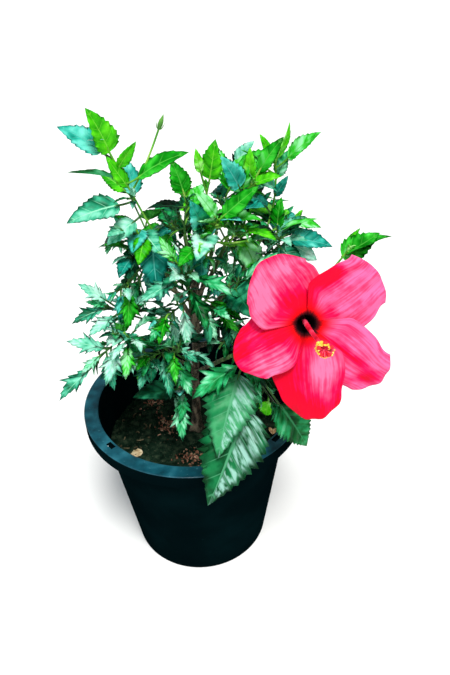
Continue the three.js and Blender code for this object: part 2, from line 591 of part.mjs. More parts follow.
// A leaf by the growth rule: the leaves go round the shoot by a fixed turn, stand off it less and less
// towards its tip, hang by their droop and turn their faces up to the light.
function ruledLeaf(shoot, curve, index, draw) {
  const share = SHOOT.bare + (1 - SHOOT.bare) * ((index + 0.7) / shoot.leaves);
  const root = curve.getPoint(share);
  const along = curve.getTangent(share);
  const first = vec(FIRST_SIDE);
  const side = first.addScaledVector(along, -first.dot(along)).normalize();
  const turn = (index * LEAF.turn + shoot.start + swing(draw, LEAF.turnSwing)) * DEGREE;
  const out = side.clone().multiplyScalar(Math.cos(turn))
    .addScaledVector(along.clone().cross(side), Math.sin(turn));
  out.z *= LEAF.flat;
  out.normalize();
  const open = (mix(...LEAF.spread, share) + swing(draw, LEAF.spreadSwing)) * DEGREE;
  const reach = along.clone().multiplyScalar(Math.cos(open))
    .addScaledVector(out, Math.sin(open))
    .normalize();
  const length = shoot.leaf * (1 - LEAF.taper * share ** 3) * mix(...LEAF.size, draw());
  const hang = shoot.droop * (1.1 - share) - swing(draw, LEAF.headSwing);
  const ahead = reach.clone().addScaledVector(UP, -hang).normalize();
  const [swingAcross, swingUp] = LEAF.faceSwing.map((most) => swing(draw, most));
  const face = UP.clone().addScaledVector(out, LEAF.faceOut)
    .add(new THREE.Vector3(swingAcross, LEAF.faceFront, swingUp));
  const bend = mix(...LEAF.bend, draw());
  const fold = mix(...LEAF.fold, draw()) * DEGREE;
  const stalk = mix(...LEAF_STALK.share, draw());
  return { root, reach, ahead, face, length, bend, fold, stalk, form: shoot.form };
}

// A leaf that is given by its tip: its blade's chord points at that tip from where it leaves the shoot.
function shownLeaf(shown, curve, draw) {
  const root = curve.getPoint(shown.at);
  const tip = vec(shown.tip);
  const bend = mix(...LEAF.bend, draw());
  const chord = (shown.length * Math.sin(bend / 2)) / (bend / 2);
  const line = tip.clone().sub(root).normalize();
  const face = vec(shown.face);
  face.addScaledVector(line, -face.dot(line)).normalize();
  const foot = tip.clone().addScaledVector(line, -chord);
  const ahead = line.clone().multiplyScalar(Math.cos(bend / 2)).addScaledVector(face, Math.sin(bend / 2));
  return { root, foot, ahead, face: vec(shown.face), length: shown.length, bend,
    fold: mix(...LEAF.fold, draw()) * DEGREE, form: shown.form };
}

// Squares a leaf's face to its midrib and, where only its stalk is known, finds the blade's foot.
function settled(leaf, size) {
  const { ahead } = leaf;
  const face = leaf.face.clone().addScaledVector(ahead, -leaf.face.dot(ahead)).normalize();
  const length = leaf.length * size;
  const foot = leaf.foot ?? leaf.root.clone().addScaledVector(leaf.reach, length * leaf.stalk);
  return { ...leaf, face, length, foot };
}

// Foliage

const standing = []; // every solid that has its place already, with its node's name and box

function boxOf(solid) {
  const { min, max } = solid.boundingBox();
  return new THREE.Box3(vec(min), vec(max));
}

function stand(node, solid, isShoot = false) {
  standing.push({ node, solid, isShoot, box: boxOf(solid) });
  return solid;
}

// A leaf leaves its own mass's shoots and brushes its other leaves by a little, and touches nothing else.
function isFree(node, berth) {
  const box = boxOf(berth);
  return standing.every((other) => {
    const own = other.node === node;
    if ((own && other.isShoot) || !other.box.intersectsBox(box)) return true;
    return berth.intersect(other.solid).volume() <= (own ? LEAF.crossing : 0);
  });
}

// The first try of a leaf that is free takes its place; none does where all of them touch something.
function leafThatFits(node, grow) {
  for (let attempt = 0; attempt < LEAF.tries; attempt++) {
    const leaf = settled(grow(attempt), LEAF.shrink ** attempt);
    if (isFree(node, leafSolid(leaf, LEAF.berth))) return [stand(node, leafSolid(leaf))];
  }
  return [];
}

function budSolid(curve, length) {
  const radius = length / BUD.stretch / 2;
  const tip = curve.getPoint(1);
  const lean = new THREE.Quaternion().setFromUnitVectors(UP, curve.getTangent(1));
  const profile = Array.from({ length: BUD.rings + 1 }, (_, ring) => {
    const share = ring / BUD.rings;
    return [radius * Math.sin(Math.PI * share ** BUD.fullest), length * (share - BUD.neck)];
  });
  profile[0][0] = 0;
  profile[BUD.rings][0] = 0;
  return solidOf(lathed(profile, BUD.sides).applyQuaternion(lean).translate(...tip));
}

function shootCurves(mass, boughLine) {
  const foot = boughLine.getPoint(1).addScaledVector(boughLine.getTangent(1), CLEAR);
  const [stem, ...others] = mass.shoots;
  const length = foot.distanceTo(vec(stem.tip));
  const knee = foot.clone().addScaledVector(boughLine.getTangent(1), length * SHOOT.knee);
  const stemCurve = new THREE.QuadraticBezierCurve3(foot, knee, vec(stem.tip));
  const sideCurves = others.map((shoot) => {
    const start = stemCurve.getPoint(shoot.at);
    const sag = start.distanceTo(vec(shoot.tip)) * SHOOT.sag;
    return bowed(start, vec(shoot.tip), new THREE.Vector3(0, 0, -sag));
  });
  return [stemCurve, ...sideCurves];
}

// The mass's own stem is as thick at its foot as its bough is at the tip.
function shootSolid(curve, isStem, boughThin) {
  return limb(curve, { ...SHOOT, thick: isStem ? boughThin : SHOOT.thick });
}

// The leaves that stand out, of every shoot of a mass.
function placeShownLeaves(node, mass, curves) {
  return mass.shoots.flatMap((shoot, shootIndex) => (shoot.show ?? []).map((shown, index) => {
    const draw = numbersFrom(mass.seed * 4001 + shootIndex * 307 + index);
    const leaf = shownLeaf(shown, curves[shootIndex], draw);
    return leafThatFits(node, () => leaf);
  }));
}

function growRuledLeaves(node, mass, curves) {
  return mass.shoots.flatMap((shoot, shootIndex) => {
    const start = mass.seed * 37 + shootIndex * 90;
    return Array.from({ length: shoot.leaves }, (_, index) => leafThatFits(node, (attempt) => ruledLeaf(
      { ...shoot, start }, curves[shootIndex], index,
      numbersFrom(mass.seed * 7919 + shootIndex * 613 + index * 31 + attempt))));
  });
}

// The bloom

const bloomTurn = new THREE.Matrix4().makeRotationX((90 - BLOOM.lift) * DEGREE);
const bloomPlace = bloomTurn.clone().setPosition(vec(BLOOM.throat)); // its own +Z looks out of the throat

// Where a petal's surface lies in the bloom's own frame: u from the tube's foot to the petal's tip, v
// from its trailing edge to its leading edge.
function petalPlace({ turn, reach, half, round, sweep }, u, v) {
  const across = 2 * v - 1;
  const inTube = Math.min(u / BLOOM.tubeShare, 1);
  const flare = Math.max((u - BLOOM.tubeShare) / (1 - BLOOM.tubeShare), 0);
  const rounded = 1 - round * (flare * across) ** 2;
  const heading = (turn + sweep * flare ** 2) * DEGREE;
  const out = BLOOM.throatRadius + (reach - BLOOM.throatRadius) * flare * rounded;
  const width = half * Math.sin(Math.PI * mix(...BLOOM.widening, flare)) ** 0.8;
  const lean = heading + BLOOM.throatSpread * DEGREE * across * (1 - flare) ** 2;
  const wave = Math.sin(BLOOM.ruffle.across * across + BLOOM.ruffle.along * u + turn);
  const radius = flare > 0 ? out : mix(BLOOM.tubeRadius, BLOOM.throatRadius, inTube ** 2);
  const height = flare > 0
    ? BLOOM.dish * Math.sin(BLOOM.dishBow * flare) + BLOOM.ruffle.height * flare ** 2 * wave
      + BLOOM.overlap * across * Math.min(flare * 3, 1)
    : -BLOOM.tube * (1 - inTube);
  const slide = flare > 0 ? width * across * Math.min(flare * 4, 1) : 0;
  return new THREE.Vector3(
    radius * Math.cos(lean) - slide * Math.sin(heading),
    radius * Math.sin(lean) + slide * Math.cos(heading),
    height,
  );
}

function petalsSolid() {
  const petals = BLOOM.petals.map((petal) => sheet(BLOOM.along, BLOOM.across, BLOOM.thickness,
    (u, v) => petalPlace(petal, u, v)));
  const floor = solidOf(new THREE.CylinderGeometry(BLOOM.tubeRadius, BLOOM.tubeRadius, 2, 10)
    .rotateX(Math.PI / 2).translate(0, 0, -BLOOM.tube + 0.8));
  return joined([floor, ...petals]).transform(bloomPlace.elements);
}

function columnSolid() {
  const foot = new THREE.Vector3(0, 0, -BLOOM.tube + 1.8 + CLEAR);
  const tip = new THREE.Vector3(0, COLUMN.rise, COLUMN.length);
  const line = new THREE.QuadraticBezierCurve3(foot, new THREE.Vector3(0, 0, COLUMN.length * 0.5), tip);
  const stem = limb(line, COLUMN);
  const knobbed = (share, turn, { lean, reach, thread, knob }) => {
    const root = line.getPoint(share);
    const heading = new THREE.Vector3().setFromSphericalCoords(1, (90 - lean) * DEGREE, turn)
      .applyAxisAngle(new THREE.Vector3(1, 0, 0), 90 * DEGREE);
    const side = heading.clone().cross(UP).normalize();
    const over = heading.clone().cross(side);
    const spindle = [[0, thread], [reach - knob, thread], [reach, knob], [reach + knob, 0.1]];
    return solidOf(skinned(spindle.map(([along, radius]) => [0, 120, 240].map((around) => root.clone()
      .addScaledVector(heading, along)
      .addScaledVector(side, radius * Math.cos(around * DEGREE))
      .addScaledVector(over, radius * Math.sin(around * DEGREE))))));
  };
  const stamens = Array.from({ length: STAMENS.count }, (_, index) => knobbed(
    mix(STAMENS.first, STAMENS.last, index / (STAMENS.count - 1)), index * LEAF.turn * DEGREE, STAMENS));
  const pads = Array.from({ length: STIGMA.count }, (_, index) => knobbed(
    STIGMA.at, (2 * Math.PI * index) / STIGMA.count, STIGMA));
  return joined([stem, ...stamens, ...pads]).transform(bloomPlace.elements);
}

// The green cup round the tube's foot, on the stalk that carries the bloom.
function bloomStalkSolid(boughLine, boughGrown) {
  const bottom = -BLOOM.tube - CLEAR - CALYX.wall;
  const inner = (share) => mix(BLOOM.tubeRadius + BLOOM.thickness + 0.6, CALYX.mouth, share);
  const cup = solidOf(lathed([
    [0, bottom - 3],
    [CALYX.foot, bottom - 2],
    [inner(0) + CALYX.wall, bottom + 2],
    [inner(1) + CALYX.wall, bottom + CALYX.depth * 0.7],
    [CALYX.flare + CALYX.wall * 0.5, bottom + CALYX.depth],
    [CALYX.flare, bottom + CALYX.depth],
    [inner(1) + 0.4, bottom + CALYX.depth * 0.7],
    [inner(0), bottom + 2],
    [inner(0) - 1, bottom + CALYX.wall],
    [0, bottom + CALYX.wall],
  ], CALYX.sides)).transform(bloomPlace.elements);
  const end = new THREE.Vector3(0, 0, bottom - 1).applyMatrix4(bloomPlace);
  const start = boughLine.getPoint(BLOOM_STALK.from);
  const stalk = limb(bowed(start, end, vec(BLOOM_STALK.bow)), BLOOM_STALK).subtract(boughGrown);
  return largest(stalk).add(cup);
}

// The whole plant

const shrub = new THREE.Group();

function add(name, solid, colour, roughness) {
  shrub.add(pieceOf(name, solid, colour, roughness));
}

add("pot", stand("pot", potSolid()), COLOURS.pot, 0.45);
add("soil", stand("soil", soilSolid()), COLOURS.soil, 0.95);
add("trunk", stand("trunk", trunkSolid()), COLOURS.bark, 0.8);

const trunkGrown = trunkSolid(CLEAR);
const boughLines = {};
for (const [name, bough] of Object.entries(BOUGHS)) {
  boughLines[name] = boughCurve(bough);
  const solid = limb(boughLines[name], { ...bough, ...BOUGH }).subtract(trunkGrown);
  add(name, stand(name, solid), COLOURS.bark, 0.75);
}

const bloomBoughGrown = limb(boughLines.bough_bloom, { ...BOUGHS.bough_bloom, ...BOUGH }, CLEAR);
add("flower_petals", stand("flower_petals", petalsSolid()), COLOURS.petal, 0.55);
add("flower_column", stand("flower_column", columnSolid()), COLOURS.column, 0.5);
add("flower_stalk", stand("flower_stalk", bloomStalkSolid(boughLines.bough_bloom, bloomBoughGrown)),
  COLOURS.greenBark, 0.6);

const shootLines = {};
const massSolids = {};
for (const [name, mass] of Object.entries(FOLIAGE)) {
  shootLines[name] = shootCurves(mass, boughLines[mass.bough]);
  massSolids[name] = shootLines[name].map((curve, index) =>
    stand(name, shootSolid(curve, index === 0, BOUGHS[mass.bough].thin), true));
}
for (const placeLeaves of [placeShownLeaves, growRuledLeaves]) {
  for (const [name, mass] of Object.entries(FOLIAGE)) {
    massSolids[name].push(...placeLeaves(name, mass, shootLines[name]).flat());
  }
}
for (const [name, mass] of Object.entries(FOLIAGE)) {
  const buds = mass.shoots.flatMap((shoot, index) =>
    (shoot.bud ? [budSolid(shootLines[name][index], shoot.bud)] : []));
  add(name, joined([...massSolids[name], ...buds]), mass.fresh ? COLOURS.freshLeaf : COLOURS.leaf, 0.5);
}

export default shrub;
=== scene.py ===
# The hibiscus shrub in its nursery pot, dressed around its solids. Sizes are in millimetres and become
# metres in each mesh. The origin is under the middle of the pot, +Z is up and the bloom faces -Y.
import math
import bpy
import bmesh
import numpy as np
from mathutils import Matrix, Vector, kdtree, noise


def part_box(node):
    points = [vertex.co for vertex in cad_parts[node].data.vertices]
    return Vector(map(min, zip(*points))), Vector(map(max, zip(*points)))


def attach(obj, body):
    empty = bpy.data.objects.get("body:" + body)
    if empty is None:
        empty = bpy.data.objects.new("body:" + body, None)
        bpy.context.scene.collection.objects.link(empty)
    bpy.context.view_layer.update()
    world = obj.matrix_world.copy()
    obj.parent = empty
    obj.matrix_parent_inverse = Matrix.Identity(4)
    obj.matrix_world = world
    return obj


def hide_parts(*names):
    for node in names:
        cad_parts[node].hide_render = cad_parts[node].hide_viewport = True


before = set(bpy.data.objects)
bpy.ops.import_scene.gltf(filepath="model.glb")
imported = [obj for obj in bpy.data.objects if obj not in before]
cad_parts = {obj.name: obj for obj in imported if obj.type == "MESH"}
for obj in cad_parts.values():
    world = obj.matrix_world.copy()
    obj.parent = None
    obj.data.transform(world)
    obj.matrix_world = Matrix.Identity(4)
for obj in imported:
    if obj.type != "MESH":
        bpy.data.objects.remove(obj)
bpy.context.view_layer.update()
mm = 0.001
up = np.array([0.0, 0.0, 1.0])
golden = math.radians(137.5)  # from one small thing to the next round a stem


def report(stage):
    print("hibiscus:", stage)


# Numbers, curves and skins

def numbersFrom(seed):  # the stream of numbers from 0 to 1 that the solids grew by
    word = 0xFFFFFFFF
    state = seed & word
    while True:
        state = (state + 0x6D2B79F5) & word
        mixed = (state ^ (state >> 15)) * (state | 1) & word
        mixed ^= (mixed + ((mixed ^ (mixed >> 7)) * (mixed | 61) & word)) & word
        yield (mixed ^ (mixed >> 14)) / (word + 1)


def mix(low, high, share):
    return low + (high - low) * share


def smooth(low, high, value):
    share = np.clip((value - low) / (high - low), 0, 1)
    return share * share * (3 - 2 * share)


def swing(draw, reach):
    return (next(draw) * 2 - 1) * reach


def vec(place):
    return np.array(place, float)


def unit(vector):
    return vector / np.linalg.norm(vector)


def squared(vector, line):  # the part of a heading that stands square to a line, as a unit
    return unit(vector - line * np.dot(vector, line))


def around(line, start, turn):  # a heading square to a line, turned about it from a starting side
    side = squared(vec(start), line)
    return side * math.cos(turn) + np.cross(line, side) * math.sin(turn)


def turnsOf(count):  # so many turns, evenly round a circle
    return np.linspace(0, 2 * math.pi, count, endpoint=False)


def fromFront(radius, turn):  # x and y at a turn that counts from the front
    return radius * math.sin(turn), -radius * math.cos(turn)


def bent(foot, knee, tip):
    return lambda share: (1 - share) ** 2 * foot + 2 * share * (1 - share) * knee + share**2 * tip


def bowed(foot, tip, bow):  # a curve whose middle is pulled off the straight line
    return bent(vec(foot), (vec(foot) + vec(tip)) / 2 + vec(bow), vec(tip))


def headingOn(curve, share):
    low, high = max(share - 1e-4, 0), min(share + 1e-4, 1)
    return unit(curve(high) - curve(low))


def throughPoints(points):  # one smooth line through given points
    points = [vec(p) for p in points]
    points = [2 * points[0] - points[1], *points, 2 * points[-1] - points[-2]]

    def line(share):
        spot = share * (len(points) - 3)
        first = min(int(spot), len(points) - 4)
        t = spot - first
        p0, p1, p2, p3 = points[first:first + 4]
        gap0, gap1, gap2 = (math.sqrt(np.linalg.norm(b - a)) for a, b in ((p0, p1), (p1, p2), (p2, p3)))
        lead = ((p1 - p0) / gap0 - (p2 - p0) / (gap0 + gap1) + (p2 - p1) / gap1) * gap1
        trail = ((p2 - p1) / gap1 - (p3 - p1) / (gap1 + gap2) + (p3 - p2) / gap2) * gap1
        curl = 3 * (p2 - p1) - 2 * lead - trail
        return p1 + lead * t + curl * t**2 + (2 * (p1 - p2) + lead + trail) * t**3
    return line


def onLine(curve, count, first=0.0, last=1.0):
    return np.array([curve(share) for share in np.linspace(first, last, count)])


def ringsAlong(points, radii, sides):  # circles of corners round a line of points
    ahead = np.gradient(points, axis=0)
    ahead /= np.linalg.norm(ahead, axis=1, keepdims=True)
    side = vec((0.3, 0.9, 0.3)) if abs(ahead[0][1]) < 0.8 else vec((0.9, 0.1, 0.4))
    turns = turnsOf(sides)
    rings = []
    for middle, line, radius in zip(points, ahead, radii):
        side = squared(side, line)
        over = np.cross(line, side)
        circle = np.outer(np.cos(turns), side) + np.outer(np.sin(turns), over)
        rings.append(middle + np.reshape(radius, (-1, 1)) * circle)
    return np.array(rings)


def skin(rings):  # a closed skin over rings of corners, with a cap at both ends
    count, sides = rings.shape[:2]
    ring, side = np.meshgrid(np.arange(count - 1), np.arange(sides), indexing="ij")
    here = (ring * sides + side).ravel()
    beside = (ring * sides + (side + 1) % sides).ravel()
    walls = [np.stack([here, beside, beside + sides], 1), np.stack([here, beside + sides, here + sides], 1)]
    fan = np.arange(1, sides - 1)
    last = (count - 1) * sides
    caps = [np.stack([0 * fan, fan + 1, fan], 1), np.stack([0 * fan + last, fan + last, fan + 1 + last], 1)]
    return rings.reshape(-1, 3), np.concatenate(walls + caps)


# Meshes and pieces

class Heap:  # the points and triangles of many small shapes, kept until they become one mesh
    def __init__(self, *materials):
        self.materials = materials
        self.points, self.faces, self.looks, self.values = [], [], [], []
        self.count = 0

    def add(self, points, faces, material, values=None):
        self.points.append(points)
        self.faces.append(faces + self.count)
        look = self.materials.index(material) if isinstance(material, str) else material
        self.looks.append(np.full(len(faces), look, np.int32))
        self.values.append(np.zeros((len(points), 3)) if values is None else values)
        self.count += len(points)

    def mesh(self, name, attribute=None):
        mesh = bpy.data.meshes.new(name)
        mesh.from_pydata((np.concatenate(self.points) * mm).tolist(), [], np.concatenate(self.faces).tolist())
        for material in self.materials:
            mesh.materials.append(bpy.data.materials[material])
        mesh.polygons.foreach_set("material_index", np.concatenate(self.looks))
        if attribute:
            places = mesh.attributes.new(attribute, "FLOAT_VECTOR", "POINT")
            places.data.foreach_set("vector", np.concatenate(self.values).ravel())
        mesh.shade_smooth()
        return mesh


def addObject(name, data):
    made = bpy.data.objects.new(name, data)
    bpy.context.scene.collection.objects.link(made)
    return made


def addPiece(name, mesh, slot, *nodes):
    piece = addObject(name, mesh)
    if nodes:
        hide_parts(*nodes)
    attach(piece, "root")


def newTree(name, inputs):  # an empty Geometry Nodes tree with named inputs
    tree = bpy.data.node_groups.new(name, "GeometryNodeTree")
    tree.interface.new_socket("Geometry", in_out="INPUT", socket_type="NodeSocketGeometry")
    for label, kind in inputs.items():
        tree.interface.new_socket(label, in_out="INPUT", socket_type="NodeSocket" + kind)
    tree.interface.new_socket("Geometry", in_out="OUTPUT", socket_type="NodeSocketGeometry")
    return tree, addNode(tree, "NodeGroupInput").outputs


def setInputs(tree, node, inputs):  # each takes a plain value, a socket, or the first output of a node
    for name, value in inputs.items():
        if isinstance(value, bpy.types.Node):
            value = value.outputs[0]
        if isinstance(value, bpy.types.NodeSocket):
            tree.links.new(value, node.inputs[name])
        else:
            node.inputs[name].default_value = value


def addNode(tree, kind, inputs=None, **settings):
    node = tree.nodes.new(kind)
    for name, value in settings.items():
        setattr(node, name, value)
    setInputs(tree, node, inputs or {})
    return node


def pointValue(tree, name, kind="FLOAT"):  # what the points carry under a name
    return addNode(tree, "GeometryNodeInputNamedAttribute", {"Name": name}, data_type=kind)


def anyOf(tree, seed, low, high):  # a size or three sizes between two limits, dealt out by a fixed seed
    kind, first, last, out = ("FLOAT", 2, 3, 1) if not isinstance(low, tuple) else ("FLOAT_VECTOR", 0, 1, 0)
    dealt = addNode(tree, "FunctionNodeRandomValue", {"Seed": seed}, data_type=kind)
    setInputs(tree, dealt, {first: low, last: high})
    return dealt.outputs[out]


def endTree(tree, geometry, material):  # every tree ends as real geometry in one material
    real = addNode(tree, "GeometryNodeRealizeInstances", {"Geometry": geometry})
    shown = addNode(tree, "GeometryNodeSetMaterial", {"Geometry": real, "Material": material})
    addNode(tree, "NodeGroupOutput", {"Geometry": shown})
    return tree


def applied(carrier, modifier):  # an object with its modifier applied, as a plain mesh
    bpy.context.view_layer.update()
    shown = carrier.evaluated_get(bpy.context.evaluated_depsgraph_get())
    mesh = bpy.data.meshes.new_from_object(shown)
    carrier.modifiers.remove(modifier)
    bpy.data.objects.remove(carrier)
    return mesh


def grownBy(tree, carrier, name, values):  # what a tree makes of a carrier
    modifier = carrier.modifiers.new(tree.name, "NODES")
    modifier.node_group = tree
    for item in tree.interface.items_tree:
        if item.in_out == "INPUT" and item.name in values:
            modifier[item.identifier] = values[item.name]
    mesh = applied(carrier, modifier)
    mesh.name = name
    return mesh


def carrierOf(points, edges=(), faces=(), **attributes):  # a plain mesh for a tree to work on
    mesh = bpy.data.meshes.new("carrier")
    mesh.from_pydata((np.asarray(points) * mm).tolist(), list(edges), list(faces))
    for name, values in attributes.items():
        values = np.asarray(values, float)
        kind, key = ("FLOAT_VECTOR", "vector") if values.ndim == 2 else ("FLOAT", "value")
        mesh.attributes.new(name, kind, "POINT").data.foreach_set(key, values.ravel())
    return addObject("carrier", mesh)


class Paths:  # lines of points with a thickness at each, from which Geometry Nodes makes tubes
    def __init__(self):
        self.points, self.edges, self.thickness = [], [], []

    def add(self, points, thickness):
        start = len(self.points)
        self.points += list(points)
        self.thickness += list(thickness)
        self.edges += [(start + i, start + i + 1) for i in range(len(points) - 1)]


def tubeTree():
    tree, given = newTree("tubesAlongPaths", {"Sides": "Int", "Material": "Material"})
    curve = addNode(tree, "GeometryNodeMeshToCurve", {"Mesh": given["Geometry"]})
    thick = pointValue(tree, "thickness")
    sized = addNode(tree, "GeometryNodeSetCurveRadius", {"Curve": curve, "Radius": thick})
    circle = addNode(tree, "GeometryNodeCurvePrimitiveCircle", {"Resolution": given["Sides"], "Radius": mm})
    tube = addNode(tree, "GeometryNodeCurveToMesh", {
        "Curve": sized, "Profile Curve": circle, "Fill Caps": True})
    shaded = addNode(tree, "GeometryNodeSetShadeSmooth", {"Geometry": tube})
    return endTree(tree, shaded, given["Material"])


tubes = tubeTree()


def tubesOf(paths, name, sides, material):
    carrier = carrierOf(paths.points, edges=paths.edges, thickness=paths.thickness)
    return grownBy(tubes, carrier, name, {"Sides": sides, "Material": bpy.data.materials[material]})


# Finishes

def newMaterial(name):
    material = bpy.data.materials.new(name)
    material.use_nodes = True
    tree = material.node_tree
    return tree, tree.nodes["Principled BSDF"], addNode(tree, "ShaderNodeTexCoord").outputs["Object"]


def carried(tree, name):  # three values that a mesh carries, as one vector and apart
    vector = addNode(tree, "ShaderNodeAttribute", attribute_name=name).outputs["Vector"]
    return vector, addNode(tree, "ShaderNodeSeparateXYZ", {"Vector": vector}).outputs


def cloudOf(tree, place, scale, detail=4, stretch=(1, 1, 1)):
    place = addNode(tree, "ShaderNodeMapping", {"Vector": place, "Scale": stretch})
    return addNode(tree, "ShaderNodeTexNoise", {
        "Vector": place, "Scale": scale, "Detail": detail}).outputs["Fac"]


def tonesOf(tree, value, colours, low, high):  # a colour ramp whose stops stand evenly from low to high
    ramp = addNode(tree, "ShaderNodeValToRGB", {"Fac": value})
    stops = ramp.color_ramp.elements
    while len(stops) < len(colours):
        stops.new(0.5)
    for stop, spot, colour in zip(stops, np.linspace(low, high, len(colours)), colours):
        stop.position = spot
        stop.color = (*colour, 1)
    return ramp.outputs["Color"]


def eased(tree, value, low, high, first, last):  # a value taken smoothly from one range to another
    return addNode(tree, "ShaderNodeMapRange", {
        "Value": value, "From Min": low, "From Max": high, "To Min": first, "To Max": last},
        interpolation_type="SMOOTHSTEP").outputs["Result"]


def mathOf(tree, operation, one, two=0.0):
    return addNode(tree, "ShaderNodeMath", {0: one, 1: two}, operation=operation).outputs[0]


def plus(tree, one, two):
    return mathOf(tree, "ADD", one, two)


def times(tree, one, two):
    return mathOf(tree, "MULTIPLY", one, two)


def blended(tree, share, one, two):  # from one colour to another
    two = (*two, 1) if isinstance(two, tuple) else two
    return addNode(tree, "ShaderNodeMix", {0: share, 6: one, 7: two}, data_type="RGBA").outputs[2]


def finished(tree, shader, colour, rough, gloss, height, depth):  # the sockets that every finish sets
    relief = addNode(tree, "ShaderNodeBump", {"Height": height, "Distance": depth * mm})
    setInputs(tree, shader, {
        "Base Color": colour, "Roughness": rough, "Specular IOR Level": gloss, "Normal": relief})


def addFinish(name, colours, scale, rough, bump, grain, stretch=(1, 1, 1), detail=4, specks=None, gloss=0.5):
    tree, shader, place = newMaterial(name)
    cloud = cloudOf(tree, place, scale, detail, stretch)
    fine = cloudOf(tree, place, grain, 3, stretch)
    colour = tonesOf(tree, cloud, colours, 0.32, 0.68)
    if specks:  # small marks of another colour where the grain is highest
        share, speckColour = specks
        colour = blended(tree, eased(tree, fine, 1 - share, 1.08 - share, 0, 1), colour, speckColour)
    finished(tree, shader, colour, eased(tree, cloud, 0.3, 0.7, *rough), gloss, fine, bump)


# The pot: a dark bucket with a flat rim, a turned-down skirt, four hanger slots and five drain holes

pot = dict(
    height=204, rimRadius=125, rimWidth=15.5, rimThickness=3, skirtDrop=15, skirtThickness=2.6,
    neckRadius=110.7, baseRadius=82.5, wall=2.5, floor=3, inset=0.2, shoulder=4, middle=0.01, sides=176,
    sharpEdge=35,  # degrees
    rounds=[2.2, 1.6, 0.7, 0.7, 0.9, 1.6, 1.2, 0.8, 2],  # of the corners, from the foot to the floor inside
    slots=[38, 136, 218, 316], slotLength=10, slotWidth=5.5, slotInset=1, cutDepth=9,
    drains=5, drainRadius=6, drainRing=54, drainSides=28,
)

addFinish("potPlastic", [(0.0006, 0.0035, 0.0045), (0.0008, 0.0045, 0.0055), (0.0012, 0.007, 0.0085)], 14,
          (0.5, 0.7), bump=0.12, grain=420, specks=(0.27, (0.01, 0.035, 0.04)), gloss=0.0)
# the rim's top is painted blue with pale specks, a painted reflection of the sky with painted glints
addFinish("potRimPlastic", [(0.0015, 0.032, 0.048), (0.003, 0.066, 0.096), (0.015, 0.125, 0.17)], 60,
          (0.3, 0.46), bump=0.12, grain=420, specks=(0.32, (0.08, 0.24, 0.3)), gloss=0.3)


def potWall(height):
    return mix(pot["baseRadius"], pot["neckRadius"], height / pot["height"])


def turned(profile, sides):  # a closed mesh that a profile sweeps round the upright middle line
    turns = turnsOf(sides)
    rings = [np.stack([r * np.cos(turns), r * np.sin(turns), np.full(sides, z)], 1) for r, z in vec(profile)]
    return skin(np.array(rings))


def rounded(before, corner, after, radius, count=4):  # a corner of a profile, taken off along an arc
    before, corner, after = vec(before), vec(corner), vec(after)
    first = corner + unit(before - corner) * radius
    last = corner + unit(after - corner) * radius
    return [tuple(bent(first, corner, last)(share)) for share in np.linspace(0, 1, count)]


def potProfile():  # half its section, from under its middle out and over the rim to its floor
    top, rim, wall = pot["height"], pot["rimRadius"], pot["wall"]
    under, skirt, low = top - pot["rimThickness"], rim - pot["skirtThickness"], top - pot["skirtDrop"]
    places = [
        (pot["middle"], 0), (potWall(0) - pot["inset"], 0), (potWall(under) - pot["inset"], under),
        (skirt, under), (skirt, low), (rim, low), (rim, top), (rim - pot["rimWidth"], top),
        (potWall(under) - wall, under - pot["shoulder"]), (potWall(pot["floor"]) - wall, pot["floor"]),
        (pot["middle"], pot["floor"]),
    ]
    profile = places[:1]
    for index, radius in enumerate(pot["rounds"]):
        profile += rounded(*places[index:index + 3], radius)
    return profile + places[-1:]


def potCutters():  # a box through the rim at each slot and a pin through the floor at each drain
    tools = bmesh.new()
    slotRing = pot["neckRadius"] + pot["slotInset"] + pot["slotWidth"] / 2
    size = Matrix.Diagonal((pot["slotWidth"] * mm, pot["slotLength"] * mm, pot["cutDepth"] * mm, 1))
    for heading in pot["slots"]:
        box = bmesh.ops.create_cube(tools, size=1)["verts"]
        place = Matrix.Translation((slotRing * mm, 0, pot["height"] * mm)) @ size
        bmesh.ops.transform(tools, verts=box, matrix=Matrix.Rotation(math.radians(heading), 4, "Z") @ place)
    radius, place = pot["drainRadius"] * mm, Matrix.Translation((pot["drainRing"] * mm, 0, 0))
    for index in range(pot["drains"]):
        pin = bmesh.ops.create_cone(tools, cap_ends=True, segments=pot["drainSides"], radius1=radius,
                                    radius2=radius, depth=pot["cutDepth"] * mm)["verts"]
        turn = Matrix.Rotation(2 * math.pi * index / pot["drains"], 4, "Z")
        bmesh.ops.transform(tools, verts=pin, matrix=turn @ place)
    mesh = bpy.data.meshes.new("cutters")
    tools.to_mesh(mesh)
    tools.free()
    return mesh


def makePot():
    heap = Heap("potPlastic", "potRimPlastic")
    heap.add(*turned(potProfile(), pot["sides"]), "potPlastic")
    body, cutters = addObject("potBody", heap.mesh("pot_body")), addObject("cutters", potCutters())
    cut = body.modifiers.new("cut", "BOOLEAN")
    cut.operation, cut.object, cut.solver = "DIFFERENCE", cutters, "EXACT"
    mesh = applied(body, cut)
    bpy.data.objects.remove(cutters)
    for face in mesh.polygons:  # what faces up on the rim is painted paler and bluer, a painted reflection of the sky
        face.material_index = int(face.normal.z > 0.2 and face.center.z > (pot["height"] - 2) * mm)
        face.use_smooth = True
    mesh.set_sharp_from_angle(angle=math.radians(pot["sharpEdge"]))
    addPiece("pot_body", mesh, "pot_plastic", "pot")


makePot()
report("pot ready")

# The soil: a lumpy bed that fills the pot, with crumbs, fibres and a few dry leaves lying on it

